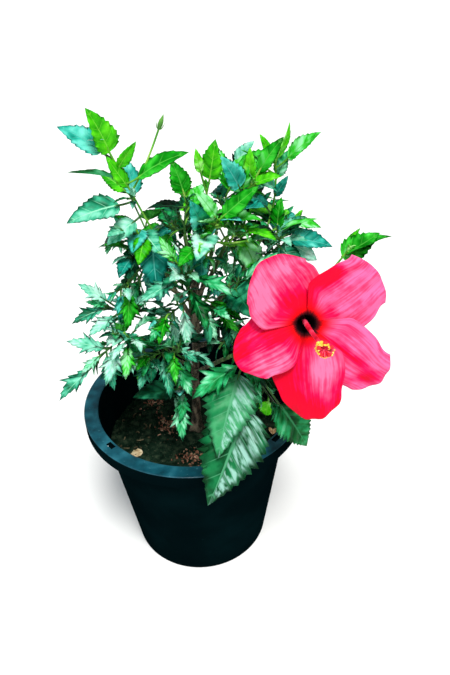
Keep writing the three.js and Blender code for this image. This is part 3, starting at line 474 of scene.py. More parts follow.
soil = dict(
    top=156, edgeDrop=4, quiet=16, rings=72, spokes=190, gap=0.6, hub=0.4,
    clod=1.7, clodSize=9, fineClod=0.7, fineScale=3.1, quietClod=0.25,
    clodNoise=(0.6, 2.1, 5), fineNoise=(0.7, 2, 3),  # how fast its octaves fade, their ratio and number
    levels=[3.4, 60, 140],  # of the rings round its side
    lump=2.2, lumps=[(3, 9, 0), (7, -14, 1)],  # lobes round the middle, how they twist outwards, and a shift
    mounds=[  # place, width, rise
        ((-47, 38), 20, 6), ((7, -51), 22, 5), ((60, -40), 20, 4), ((30, 60), 24, 4)],
    ruddy=[((-33, 6), 15), ((-8, -52), 15), ((-50, 52), 12)],  # where lie heaps of red-brown lumps
)
strewn = dict(
    rings=24, spokes=48, first=6, margin=1, lift=0.1, turn=(6, 6, 6), clodsApart=0.3,
    lumpLow=(0.4, 0.4, 0.3), lumpHigh=(1.5, 1, 0.8), raggedScale=700.0,
)
fibre = dict(
    seed=77, count=70, steps=6, first=16, last=96, edge=97, length=(3, 11), thick=(0.08, 0.24), curl=0.5,
    lift=0.5, arch=1.2, sides=4,
)

addFinish("soilBed", [(0.002, 0.007, 0.004), (0.006, 0.017, 0.01), (0.028, 0.045, 0.026)], 130, (0.85, 1),
          bump=0.8, grain=900, detail=8, specks=(0.35, (0.08, 0.09, 0.055)), gloss=0.0)
addFinish("soilCrumb", [(0.002, 0.006, 0.004), (0.012, 0.024, 0.015), (0.07, 0.09, 0.055)], 160, (0.85, 1),
          bump=0.3, grain=1400, gloss=0.0)
addFinish("ruddyLump", [(0.06, 0.02, 0.012), (0.25, 0.11, 0.07), (0.6, 0.36, 0.25)], 190, (0.85, 1),
          bump=0.4, grain=1300, gloss=0.0)
addFinish("soilFibre", [(0.02, 0.018, 0.01), (0.07, 0.06, 0.035), (0.2, 0.17, 0.1)], 120, (0.8, 0.95),
          bump=0.1, grain=900, gloss=0.0)


def soilEdge(height):
    return potWall(height) - pot["wall"] - soil["gap"]


def soilHeight(radius, turn, edge):
    loose = float(smooth(soil["quiet"], soil["quiet"] * 2, radius))
    lumps = sum(math.sin(lobes * turn + radius / reach + shift) for lobes, reach, shift in soil["lumps"])
    height = soil["top"] - soil["edgeDrop"] * (radius / edge) ** 2 * loose + soil["lump"] / 2 * lumps * loose
    x, y = fromFront(radius, turn)
    for (moundX, moundY), spread, rise in soil["mounds"]:
        height += rise * math.exp(-((x - moundX) ** 2 + (y - moundY) ** 2) / spread**2) * loose
    place = Vector((x, y, 3)) / soil["clodSize"]
    clods = noise.fractal(place, *soil["clodNoise"])
    clods += soil["fineClod"] * noise.fractal(place * soil["fineScale"], *soil["fineNoise"])
    return height + soil["clod"] * clods * mix(soil["quietClod"], 1, loose)


def makeSoil():
    edge, turns = soilEdge(soil["top"]), turnsOf(soil["spokes"])
    rings = [[(*fromFront(soilEdge(level), turn), level) for turn in turns] for level in soil["levels"]]
    for radius in np.linspace(edge, soil["hub"], soil["rings"]):
        rings.append([(*fromFront(radius, turn), soilHeight(radius, turn, edge)) for turn in turns])
    heap = Heap("soilBed")
    heap.add(*skin(np.array(rings)), "soilBed")
    addPiece("soil_bed", heap.mesh("soil_bed"), "soil", "soil")


def crumbTree():  # small lumps strewn over a surface
    tree, given = newTree("crumbsOnSoil", {
        "Density": "Float", "Smallest": "Float", "Largest": "Float", "Lumpiness": "Float", "Seed": "Int",
        "Material": "Material"})
    plenty = times(tree, given["Density"], pointValue(tree, "plenty"))
    spots = addNode(tree, "GeometryNodeDistributePointsOnFaces", {
        "Mesh": given["Geometry"], "Density": plenty, "Seed": given["Seed"]})
    size = anyOf(tree, given["Seed"], given["Smallest"], given["Largest"])
    form = anyOf(tree, given["Seed"], strewn["lumpLow"], strewn["lumpHigh"])
    sizes = addNode(tree, "ShaderNodeVectorMath", {0: form, "Scale": size}, operation="SCALE")
    lump = addNode(tree, "GeometryNodeMeshIcoSphere", {"Radius": mm, "Subdivisions": 1})
    lumps = addNode(tree, "GeometryNodeInstanceOnPoints", {
        "Points": spots, "Instance": lump, "Rotation": anyOf(tree, given["Seed"], (0, 0, 0), strewn["turn"]),
        "Scale": sizes})
    real = addNode(tree, "GeometryNodeRealizeInstances", {"Geometry": lumps})
    cloud = addNode(tree, "ShaderNodeTexNoise", {"Scale": strewn["raggedScale"]}).outputs["Color"]
    cloud = addNode(tree, "ShaderNodeVectorMath", {0: cloud, 1: (0.5, 0.5, 0.5)}, operation="SUBTRACT")
    ragged = addNode(tree, "ShaderNodeVectorMath", {0: cloud, "Scale": given["Lumpiness"]}, operation="SCALE")
    moved = addNode(tree, "GeometryNodeSetPosition", {"Geometry": real, "Offset": ragged})
    return endTree(tree, moved, given["Material"])


def soilPlace(x, y, lift):
    radius = math.hypot(x, y)
    return (x, y, soilHeight(radius, math.atan2(x, -y), soilEdge(soil["top"])) + lift)


def strewCrumbs():
    rings, spokes = strewn["rings"], strewn["spokes"]
    radii = np.linspace(strewn["first"], soilEdge(soil["top"]) - strewn["margin"], rings)
    places = [fromFront(radius, turn) for radius in radii for turn in turnsOf(spokes)]
    points = [soilPlace(*place, strewn["lift"]) for place in places]
    faces = []
    for start in range(0, (rings - 1) * spokes, spokes):
        for side in range(spokes):
            here, beside = start + side, start + (side + 1) % spokes
            faces.append((here, beside, beside + spokes, here + spokes))
    flat = np.array(points)[:, :2]
    ruddy = sum(np.exp(-np.sum((flat - vec(spot)) ** 2, 1) / spread**2) for spot, spread in soil["ruddy"])
    tree = crumbTree()
    for name, plenty, density, sizes, lumpiness, seed, material in (
            ("soil_crumbs", np.ones(len(points)), 110000.0, (0.35, 1.1), 0.9, 3, "soilCrumb"),
            ("soil_clods", strewn["clodsApart"] + ruddy, 9000.0, (0.8, 2.2), 2.0, 8, "soilCrumb"),
            ("soil_ruddy", ruddy**2, 220000.0, (0.6, 2.7), 2.4, 5, "ruddyLump")):
        mesh = grownBy(tree, carrierOf(points, faces=faces, plenty=plenty), name, {
            "Density": density, "Smallest": sizes[0], "Largest": sizes[1], "Lumpiness": lumpiness * mm,
            "Seed": seed, "Material": bpy.data.materials[material]})
        addPiece(name, mesh, "soil")


def strewFibres():  # dry roots and chips of bark that lie on the soil
    fibres, draw = Paths(), numbersFrom(fibre["seed"])
    for index in range(fibre["count"]):
        radius = mix(fibre["first"], fibre["last"], math.sqrt(next(draw)))
        turn, heading = next(draw) * 2 * math.pi, next(draw) * 2 * math.pi
        length = mix(*fibre["length"], next(draw) ** 2)
        x, y = fromFront(radius, turn)
        curl, line = swing(draw, fibre["curl"]), []
        for step in np.linspace(0, 1, fibre["steps"]):
            angle = heading + curl * step * 3
            place = x + length * step * math.cos(angle), y + length * step * math.sin(angle)
            if math.hypot(*place) > fibre["edge"]:
                break
            lift = fibre["lift"] + fibre["arch"] * math.sin(math.pi * step) * abs(curl)
            line.append(soilPlace(*place, lift))
        if len(line) > fibre["steps"] / 2:
            thick = mix(*fibre["thick"], next(draw) ** 3)
            fibres.add(line, np.linspace(thick, thick * 0.5, len(line)))
    addPiece("soil_fibres", tubesOf(fibres, "soil_fibres", fibre["sides"], "soilFibre"), "soil")


makeSoil()
strewCrumbs()
strewFibres()
report("soil ready")

# The trunk and boughs: one woody piece with its bark in relief, greener towards the boughs' tips

def limb(start, tip, bow, thick, thin):  # its height on the trunk, its tip, its bow and its radii
    return dict(start=start, tip=tip, bow=bow, thick=thick, thin=thin)


boughs = {
    "bough_top_left": limb(346, (-22, -12, 402), (-2, 0, -6), 2.6, 1.8),
    "bough_left": limb(328, (-38, -6, 374), (-3, 0, -5), 2.3, 1.5),
    "bough_low_left": limb(284, (-46, -18, 324), (-3, 0, 5), 2.2, 1.5),
    "bough_front_left": limb(262, (-54, -38, 314), (0, -4, 8), 2.2, 1.5),
    "bough_front": limb(322, (3, -24, 346), (0, -3, -3), 2, 1.6),
    "bough_low_front": limb(246, (-22, -36, 290), (-2, -4, 0), 2, 1.4),
    "bough_over_soil": limb(216, (-8, -26, 238), (0, -3, -2), 1.8, 1.3),
    "bough_middle": limb(342, (20, -7, 390), (2, -1, -3), 2.3, 1.8),
    "bough_centre": limb(354, (2, 2, 404), (-2, 0, 0), 2.4, 1.8),
    "bough_right": limb(334, (44, 10, 394), (4, 0, -6), 2.4, 1.8),
    "bough_far_right": limb(306, (80, 28, 382), (8, 2, -8), 2.6, 1.8),
    "bough_right_low": limb(296, (74, -4, 366), (6, -2, -6), 2.3, 1.6),
    "bough_bloom": limb(274, (104, -64, 362), (6, 0, -16), 2.9, 1.9),
    "bough_front_right": limb(238, (46, -84, 322), (4, 0, 2), 2.5, 1.7),
    "bough_inner_right": limb(290, (34, -26, 344), (1, -6, -2), 2, 1.5),
    "bough_back_left": limb(300, (-32, 42, 376), (-3, 5, -5), 2.6, 1.8),
    "bough_back_right": limb(318, (36, 50, 384), (1, 8, -5), 2.6, 1.8),
    "bough_back": limb(256, (2, 54, 330), (0, 6, -4), 2.4, 1.7),
}

trunk = dict(
    line=[(0, 0, 156.3), (2, -1, 200), (3, 0, 240), (8, 0, 309), (8, 0, 356)], footRadius=5.2, tipRadius=3,
    flare=0.8, flareHeight=9, flareLobes=5, lobe=0.35, ripe=(1, 0.55), sides=30, rings=130,
)
bark = dict(
    sides=14, rings=40, ridge=0.34, ridgesRound=1.7, ridgeLength=13, ridgeNoise=(0.7, 2.2, 4), pore=0.1,
    poreSize=1.4, collar=0.55, collarLength=3.5, knots=5, firstKnot=0.6, knot=0.2, knotLength=1.3,
    ripe=(0.6, 0.05), tipRelief=0.35,
    tones=[(0.006, 0.007, 0.004), (0.055, 0.045, 0.03), (0.24, 0.19, 0.13)], pores=(0.42, 0.36, 0.27),
    youngTones=[(0.015, 0.05, 0.008), (0.05, 0.13, 0.025), (0.13, 0.24, 0.06)],
)

trunkLine = throughPoints(trunk["line"])


def trunkAt(height):  # where the trunk's middle line reaches a height
    low, high = 0.0, 1.0
    while high - low > 1e-6:
        half = (low + high) / 2
        if trunkLine(half)[2] < height:
            low = half
        else:
            high = half
    return trunkLine(low)


def barkRelief(place, turn, ripe):  # ridges along the limb and pores across them
    spot = Vector((math.cos(turn) * bark["ridgesRound"], math.sin(turn) * bark["ridgesRound"],
                   place[2] / bark["ridgeLength"]))
    pores = noise.noise(Vector(place) / bark["poreSize"])
    return (bark["ridge"] * noise.fractal(spot, *bark["ridgeNoise"]) + bark["pore"] * pores) * ripe


def addLimb(heap, points, radii, sides, ripeness):
    rings = ringsAlong(points, radii, sides)
    values = np.zeros((*rings.shape[:2], 3))
    for ring, (middle, ripe) in enumerate(zip(points, ripeness)):
        for side, turn in enumerate(turnsOf(sides)):
            out = unit(rings[ring, side] - middle)
            relief = barkRelief(rings[ring, side], turn, mix(bark["tipRelief"], 1, ripe))
            rings[ring, side] += out * relief
            values[ring, side] = ripe, relief, 0
    heap.add(*skin(rings), "ridgedBark", values.reshape(-1, 3))


boughLines = {name: bowed(trunkAt(b["start"]), b["tip"], b["bow"]) for name, b in boughs.items()}


def makeWood():
    heap = Heap("ridgedBark")
    points = onLine(trunkLine, trunk["rings"])
    share = np.linspace(0, 1, len(points))
    low = np.exp(-(points[:, 2] - trunk["line"][0][2]) / trunk["flareHeight"])
    lobes = 1 + trunk["lobe"] * np.cos(trunk["flareLobes"] * turnsOf(trunk["sides"]))
    radii = mix(trunk["footRadius"], trunk["tipRadius"], share)[:, None]
    radii = radii * (1 + trunk["flare"] * np.outer(low, lobes))
    addLimb(heap, points, radii, trunk["sides"], mix(*trunk["ripe"], share))
    share = np.linspace(0, 1, bark["rings"])
    for name, bough in boughs.items():
        points = onLine(boughLines[name], bark["rings"])
        length = np.linalg.norm(points[-1] - points[0])
        radii = mix(bough["thick"], bough["thin"], share) * (
            1 + bark["collar"] * np.exp(-share * length / bark["collarLength"]))
        for knot in (np.arange(bark["knots"]) + bark["firstKnot"]) / bark["knots"]:
            radii = radii * (1 + bark["knot"] * np.exp(-((share - knot) * length / bark["knotLength"]) ** 2))
        addLimb(heap, points, radii, bark["sides"], mix(*bark["ripe"], share))
    return heap.mesh("bark_wood", "ripeness")


def addBarkFinish():
    tree, shader, place = newMaterial("ridgedBark")
    ripe, height = carried(tree, "ripeness")[1][:2]
    cloud = cloudOf(tree, place, 190, 6, (1, 1, 0.3))
    pores = cloudOf(tree, place, 900, 2, (1, 1, 2.2))
    raised = eased(tree, height, -0.25, 0.25, -0.12, 0.14)  # the ridges are paler than the furrows
    old = tonesOf(tree, plus(tree, cloud, raised), bark["tones"], 0.3, 0.7)
    old = blended(tree, eased(tree, pores, 0.6, 0.68, 0, 0.8), old, bark["pores"])
    young = tonesOf(tree, cloud, bark["youngTones"], 0.35, 0.65)
    colour = blended(tree, eased(tree, ripe, 0.1, 0.5, 0, 1), young, old)
    finished(tree, shader, colour, eased(tree, cloud, 0.3, 0.7, 0.7, 0.92), 0.25, pores, 0.25)


addBarkFinish()
addPiece("bark_wood", makeWood(), "bark", "trunk", *boughs)
report("trunk and boughs ready")

# The foliage: each mass is regrown from its bough's tip by the rule that its solid grew by. A leaf takes
# the first try whose blade is found in that solid, and finer twigs and leaves are grown on from it.

def shootTo(tip, leaves, leaf, droop, form, **more):  # its tip, how many leaves, their length and droop
    return dict(tip=tip, leaves=leaves, leaf=leaf, droop=droop, form=form, **more)


def leafTo(at, tip, length, form, face, hue, tint=None):  # where it leaves the shoot, its tip and looks
    return dict(at=at, tip=tip, length=length, form=form, face=face, hue=hue, tint=tint)


foliage = {
    "foliage_under_bloom": dict(bough="bough_front_right", seed=16, hues="shade", finer=0.6, shoots=[
        shootTo((58, -112, 316), 2, 40, 0.8, "broad", show=[
            leafTo(0.35, (14, -158, 262), 78, "large", (-0.2, -0.7, 0.6), "gloss", 1.0),
            leafTo(0.97, (10, -172, 214), 96, "large", (-0.1, -0.8, 0.5), "gloss", 0.0),
            leafTo(0.9, (108, -112, 222), 62, "large", (0.3, -0.8, 0.3), "mid", 0.2),
            leafTo(0.6, (-4, -124, 306), 52, "cut", (-0.2, -0.6, 0.8), "mid"),
        ]),
        shootTo((78, -92, 262), 4, 34, 0.5, "cut", at=0.2, extra=[
            leafTo(0.8, (72, -79, 236), 29, "small", (-0.3, -0.8, 0.4), "lime"),
        ]),
    ]),
    "foliage_bloom": dict(bough="bough_bloom", seed=29, hues="bright", finer=0.4, shoots=[
        shootTo((139, -78, 414), 3, 34, 0.1, "young", extra=[
            leafTo(0.95, (165, -86, 432), 38, "broad", (0, -0.7, 0.7), "fresh"),
        ], show=[
            leafTo(0.97, (175, -84, 430), 42, "broad", (-0.2, 0.1, 1), "fresh", 0.0),
        ]),
    ]),
    "foliage_top_left": dict(bough="bough_top_left", seed=7, hues="pale", finer=0.4, shoots=[
        shootTo((-60, -20, 500), 3, 32, 0.3, "broad", open=[0, 1], extra=[
            leafTo(0.62, (-62, -24, 490), 34, "young", (0.2, -0.8, 0.5), "lime"),
        ], show=[
            leafTo(0.97, (-70, -26, 532), 42, "broad", (0.5, -0.8, 0.3), "lime", 0.1),
            leafTo(0.88, (-98, -12, 515), 42, "broad", (0.1, -0.5, 0.9), "teal", 0.6),
            leafTo(0.8, (-35, -27, 504), 30, "young", (0.3, -0.9, 0.3), "lime", 0.2),
            leafTo(0.7, (-95, -22, 478), 44, "young", (0, 0.5, 0.9), "mid"),
            leafTo(0.66, (10, -35, 495), 54, "young", (0, -0.5, 0.9), "fresh", 0.1),
            leafTo(0.5, (-100, -42, 442), 50, "broad", (0, -0.4, 0.9), "mint", 0.1),
            leafTo(0.36, (-68, -36, 414), 34, "broad", (-0.2, -0.7, 0.7), "mint"),
            leafTo(0.18, (-30, -40, 366), 46, "broad", (0, -0.9, 0.3), "teal"),
        ]),
        dict(tip=(-14, -20, 510), leaves=0, at=0.58, bud=15),
        shootTo((-54, -26, 424), 4, 32, 0.6, "broad", at=0.12, open=[2], extra=[
            leafTo(0.5, (-46, -44, 409), 32, "broad", (-0.2, -0.8, 0.6), "teal"),
            leafTo(0.3, (-20, -42, 404), 34, "broad", (0.2, -0.8, 0.5), "mint"),
        ]),
    ]),
    "foliage_left": dict(bough="bough_left", seed=29, hues="cool", finer=0.3, shoots=[
        shootTo((-46, -18, 400), 7, 38, 0.7, "broad", open=[0, 2]),
        shootTo((-66, -34, 366), 7, 40, 0.8, "cut", at=0.2, open=[1, 4, 6]),
    ]),
    "foliage_low_left": dict(bough="bough_low_left", seed=7, hues="pale", finer=0.35, shoots=[
        shootTo((-78, -20, 342), 5, 36, 0.3, "cut", show=[
            leafTo(0.5, (-103, -20, 371), 34, "cut", (0.1, -0.8, 0.6), "mint"),
            leafTo(0.98, (-115, -30, 332), 36, "cut", (0, -0.4, 0.9), "mint"),
            leafTo(0.7, (-96, -50, 326), 34, "cut", (0, -0.5, 0.9), "mint"),
        ]),
        shootTo((-48, -36, 350), 5, 36, 0.4, "cut", at=0.3, open=[2]),
    ]),
    "foliage_front_left": dict(bough="bough_front_left", seed=58, hues="pale", finer=0.35, shoots=[
        shootTo((-90, -58, 306), 6, 38, 0.5, "cut", show=[
            leafTo(0.98, (-125, -90, 282), 42, "cut", (-0.3, -0.5, 0.8), "mint"),
            leafTo(0.75, (-118, -52, 326), 38, "cut", (-0.2, -0.5, 0.9), "mint"),
            leafTo(0.8, (-77, -78, 282), 36, "cut", (0, -0.7, 0.7), "mint"),
        ]),
        shootTo((-58, -60, 330), 5, 36, 0.5, "cut", at=0.15, extra=[
            leafTo(0.4, (-46, -62, 314), 30, "cut", (0.1, -0.8, 0.6), "deep"),
            leafTo(0.7, (-40, -54, 312), 30, "cut", (-0.2, -0.7, 0.7), "mid"),
        ]),
    ]),
    "foliage_front": dict(bough="bough_front", seed=28, hues="cool", finer=0.65, shoots=[
        shootTo((-4, -42, 392), 9, 44, 1.1, "cut"),
        shootTo((26, -50, 348), 6, 38, 0.9, "cut", at=0.12),
        shootTo((-28, -54, 344), 6, 38, 0.9, "cut", at=0.1),
    ]),
    "foliage_low_front": dict(bough="bough_low_front", seed=29, hues="pale", shoots=[
        shootTo((-50, -56, 302), 7, 40, 1, "cut"),
        shootTo((-10, -62, 312), 6, 38, 1, "cut", at=0.2),
    ]),
    "foliage_over_soil": dict(bough="bough_over_soil", seed=8, hues="shade", finer=0.5, shoots=[
        shootTo((-16, -44, 248), 3, 36, 0.5, "cut", show=[
            leafTo(0.6, (-62, -58, 254), 46, "broad", (-0.1, -0.3, 1), "deep", 0.5),
            leafTo(0.99, (-16, -82, 212), 42, "cut", (0.1, -0.5, 0.8), "mid", 0.9),
        ]),
    ]),
    "foliage_middle": dict(bough="bough_middle", seed=7, hues="bright", shoots=[
        shootTo((33, -25, 428), 5, 40, 0.6, "broad", show=[
            leafTo(0.97, (12, -32, 463), 37, "young", (0.4, -0.8, 0.4), "fresh"),
            leafTo(0.99, (70, -32, 459), 44, "young", (-0.2, -0.8, 0.5), "fresh"),
            leafTo(0.5, (6, -34, 450), 38, "broad", (-0.1, -0.8, 0.5), "teal", 0.8),
        ]),
        shootTo((25, 2, 446), 2, 34, 0.2, "broad", at=0.2, open=[1], extra=[
            leafTo(0.96, (15, -6, 488), 24, "young", (0.2, -0.9, 0.3), "lime"),
        ], show=[
            leafTo(0.99, (37, 0, 493), 37, "broad", (-0.3, -0.9, 0.2), "lime"),
        ]),
        shootTo((12, -42, 412), 4, 42, 0.7, "broad", at=0.1, open=[1]),
        shootTo((58, -30, 408), 3, 40, 0.5, "broad", at=0.3, open=[1]),
    ]),
    "foliage_centre": dict(bough="bough_centre", seed=46, hues="cool", shoots=[
        shootTo((6, 4, 434), 4, 36, 0.5, "broad", open=[1], show=[
            leafTo(0.99, (-4, 2, 478), 34, "broad", (0.2, -0.9, 0.3), "fresh"),
            leafTo(0.9, (-33, 4, 430), 35, "broad", (0, 0, 1), "deep"),
        ]),
        shootTo((-16, 18, 404), 4, 38, 0.7, "broad", at=0.2),
    ]),
    "foliage_right_top": dict(bough="bough_right", seed=28, hues="bright", finer=0.6, shoots=[
        shootTo((67, 12, 446), 5, 36, 0.4, "broad", show=[
            leafTo(0.99, (68, 10, 482), 33, "young", (-0.3, -0.9, 0.2), "lime"),
            leafTo(0.95, (96, 12, 491), 40, "young", (-0.4, -0.8, 0.3), "fresh"),
            leafTo(0.8, (38, 6, 477), 38, "broad", (0.1, -0.8, 0.6), "teal", 0.6),
        ]),
        shootTo((58, -20, 412), 4, 42, 0.6, "broad", at=0.15),
    ]),
    "foliage_far_right": dict(bough="bough_far_right", seed=19, hues="bright", finer=0.3, shoots=[
        shootTo((93, 28, 462), 3, 28, 0.2, "young", open=[1], extra=[
            leafTo(0.8, (107, 30, 471), 26, "broad", (-0.2, -0.6, 0.8), "mid"),
            leafTo(0.6, (106, 26, 448), 26, "young", (0.1, -0.7, 0.7), "teal"),
        ], show=[
            leafTo(0.98, (104, 25, 499), 36, "young", (0.7, -0.6, 0.1), "lime"),
            leafTo(0.93, (133, 15, 491), 40, "broad", (-0.5, -0.3, 0.8), "fresh"),
            leafTo(0.96, (78, 33, 487), 22, "young", (0.3, -0.9, 0.2), "lime"),
            leafTo(0.86, (60, 30, 474), 28, "young", (0, 0.1, 1), "fresh"),
            leafTo(0.7, (76, 16, 446), 26, "broad", (0, -0.7, 0.7), "mint"),
        ]),
        shootTo((112, 26, 402), 4, 38, 0.5, "broad", at=0.1, open=[3]),
    ]),
    "foliage_right": dict(bough="bough_right_low", seed=52, hues="cool", shoots=[
        shootTo((92, -4, 404), 5, 42, 0.6, "broad", extra=[
            leafTo(0.9, (131, -12, 376), 38, "broad", (0.1, -0.9, 0.3), "mint"),
        ], show=[
            leafTo(0.98, (130, -8, 416), 42, "young", (0, 0.1, 1), "fresh"),
            leafTo(0.95, (53, -8, 409), 36, "broad", (-0.2, 0.1, 1), "deep"),
            leafTo(0.85, (146, -8, 386), 44, "broad", (0.3, -0.4, 0.9), "teal"),
            leafTo(0.75, (116, -22, 368), 34, "broad", (0.3, -0.9, 0.4), "mint"),
        ]),
        shootTo((88, -30, 356), 4, 44, 0.6, "broad", at=0.2),
    ]),
    "foliage_inner_right": dict(bough="bough_inner_right", seed=26, hues="shade", shoots=[
        shootTo((58, -46, 364), 8, 50, 0.9, "broad"),
        shootTo((44, -56, 318), 6, 42, 0.8, "cut", at=0.15),
    ]),
    "foliage_back_left": dict(bough="bough_back_left", seed=29, hues="shade", finer=0.45, shoots=[
        shootTo((-52, 66, 424), 9, 48, 0.6, "broad", finer=0, open=[2, 3, 4, 5]),
        shootTo((-70, 52, 376), 7, 42, 0.5, "cut", at=0.3, open=[3, 5]),
        shootTo((-50, 30, 340), 6, 42, 0.6, "cut", at=0.1),
    ]),
    "foliage_back_right": dict(bough="bough_back_right", seed=11, hues="shade", finer=0.6, shoots=[
        shootTo((58, 78, 442), 9, 50, 0.4, "broad", open=[7]),
        shootTo((94, 66, 396), 7, 46, 0.5, "cut", at=0.3),
        shootTo((62, 44, 344), 6, 44, 0.6, "cut", at=0.1),
    ]),
    "foliage_back": dict(bough="bough_back", seed=3, hues="shade", shoots=[
        shootTo((6, 68, 414), 10, 44, 0.5, "broad", open=[7]),
        shootTo((-38, 88, 336), 5, 42, 0.6, "cut", at=0.2),
        shootTo((40, 88, 330), 5, 42, 0.6, "cut", at=0.1),
    ]),
}

growth = dict(  # turns, spreads and folds in degrees, bends in radians
    turn=144, turnSwing=24, spread=(66, 24), spreadSwing=9, flat=0.4, size=(0.86, 1.14), taper=0.4,
    headSwing=0.12, faceOut=0.5, faceFront=-0.3, faceSwing=(0.3, 0.2), bend=(0.25, 0.7), fold=(8, 26),
    stalk=(0.21, 0.34), shrink=0.86, tries=6, bare=0.16, knee=0.45, sag=0.12, firstSide=(-0.8, 0.1, -0.6),
    late=0.7, clear=0.3, near=0.35, most=0.75, sunlit=400, youngShoot=455,
    shownSeed=(4001, 307), ruledSeed=(7919, 613, 31), firstTurn=(37, 90), looksSeed=101,
)
solidEdges = {  # the few outline points of each form in the solids, which a leaf is found by
    "broad": [(0.08, 0.2), (0.38, 0.32), (0.74, 0.19)],
    "cut": [(0.12, 0.15), (0.62, 0.33), (0.57, 0.14)],
    "large": [(0.05, 0.17), (0.24, 0.31), (0.52, 0.3), (0.78, 0.16)],
    "young": [(0.1, 0.11), (0.42, 0.19), (0.76, 0.1)],
}
leafForms = {  # half width, where it is widest, and the teeth on one side, in shares of the length
    "broad": dict(half=0.31, skew=0.62, teeth=8, depth=0.1, pinch=0.9),
    "large": dict(half=0.32, skew=0.6, teeth=12, depth=0.14, pinch=1.05),
    "young": dict(half=0.2, skew=0.7, teeth=6, depth=0.08, pinch=0.9),
    "cut": dict(lobes=[(0.04, 0.24, 0.17), (0.16, 0.27, 0.12), (0.12, 0.46, 0.25), (0.26, 0.46, 0.16),
                       (0.2, 0.64, 0.32), (0.36, 0.57, 0.15), (0.42, 0.72, 0.14), (0.52, 0.72, 0.1),
                       (0.6, 0.85, 0.1), (0.68, 0.86, 0.06)]),
    "small": dict(half=0.3, skew=0.62, teeth=4, depth=0.12, pinch=0.9),
    "tuft": dict(half=0.2, skew=0.7, teeth=3, depth=0.1, pinch=0.9),
}
blade = dict(  # in shares of a leaf's length
    half=0.0065, puff=0.014, swell=(0.35, 0.65), groove=0.006, ripple=0.05, waves=11, curl=0.07, slant=0.85,
    firstMark=0.05, marked=0.88, crowd=0.95, toothAt=0.72, toothOut=1.05, uneven=0.035, unevenTurn=2.4,
)

leafHues = {  # the piece that carries it, its veins and how far they show, and four tones of the upper side, the palest of which partly stands for a painted highlight
    "lime": dict(piece="fresh", vein=(0.2, 0.72, 0.05), shown=0.45, tones=[
        (0.012, 0.28, 0.001), (0.04, 0.46, 0.003), (0.11, 0.68, 0.01), (0.36, 0.88, 0.22)]),
    "fresh": dict(piece="fresh", vein=(0.1, 0.56, 0.06), shown=0.45, tones=[
        (0.0003, 0.12, 0.001), (0.003, 0.28, 0.004), (0.04, 0.54, 0.03), (0.32, 0.86, 0.4)]),
    "mid": dict(piece="mid", vein=(0.05, 0.42, 0.15), shown=0.4, tones=[
        (0.0002, 0.03, 0.005), (0.0015, 0.17, 0.03), (0.025, 0.44, 0.15), (0.32, 0.78, 0.52)]),
    "gloss": dict(piece="mid", vein=(0.08, 0.34, 0.17), shown=0.55, paintedSkyShine=(0.3, 0.56, 0.48), tones=[
        (0.0006, 0.05, 0.012), (0.002, 0.105, 0.03), (0.008, 0.18, 0.055), (0.04, 0.29, 0.11)]),
    # teal and mint are partly the leaves' own blue-green and partly a painted reflection of the sky
    "teal": dict(piece="blue", vein=(0.1, 0.5, 0.42), shown=0.45, tones=[
        (0.0, 0.07, 0.05), (0.002, 0.22, 0.16), (0.03, 0.44, 0.34), (0.14, 0.64, 0.53)]),
    "mint": dict(piece="blue", vein=(0.36, 0.84, 0.56), shown=0.4, tones=[
        (0.0, 0.08, 0.03), (0.03, 0.36, 0.2), (0.2, 0.64, 0.45), (0.5, 0.84, 0.7)]),
    # deep is partly the leaves' own dark green and partly painted shade, which the shade spray deals out
    "deep": dict(piece="dark", vein=(0.01, 0.15, 0.05), shown=0.35, tones=[
        (0.0001, 0.008, 0.002), (0.0003, 0.03, 0.01), (0.001, 0.09, 0.04), (0.03, 0.33, 0.16)]),
    "dry": dict(piece="litter", vein=(0.3, 0.2, 0.1), shown=0.5, tones=[
        (0.2, 0.13, 0.06), (0.42, 0.32, 0.18), (0.65, 0.56, 0.38), (0.85, 0.8, 0.62)]),
    "ruddy": dict(piece="litter", vein=(0.3, 0.1, 0.05), shown=0.5, tones=[
        (0.25, 0.06, 0.02), (0.6, 0.22, 0.08), (0.85, 0.5, 0.25), (0.95, 0.8, 0.55)]),
}
sprayHues = {  # how a mass deals out its leaf colours
    "bright": ["fresh", "lime", "fresh", "teal", "lime", "mint"],
    "pale": ["mint", "mid", "mint", "mid", "fresh", "mint"],
    "cool": ["teal", "mid", "mint", "mid", "fresh", "mint"],
    "shade": ["mid", "deep", "mid", "teal", "deep", "mid"],
}
leafPieces = {
    "fresh": "leaf_fresh", "mid": "leaf_mid", "blue": "leaf_blue", "dark": "leaf_dark", "litter": "soil",
}
underTone = (0.4, 0.7, 0.42)  # what the under side of a leaf is paled with


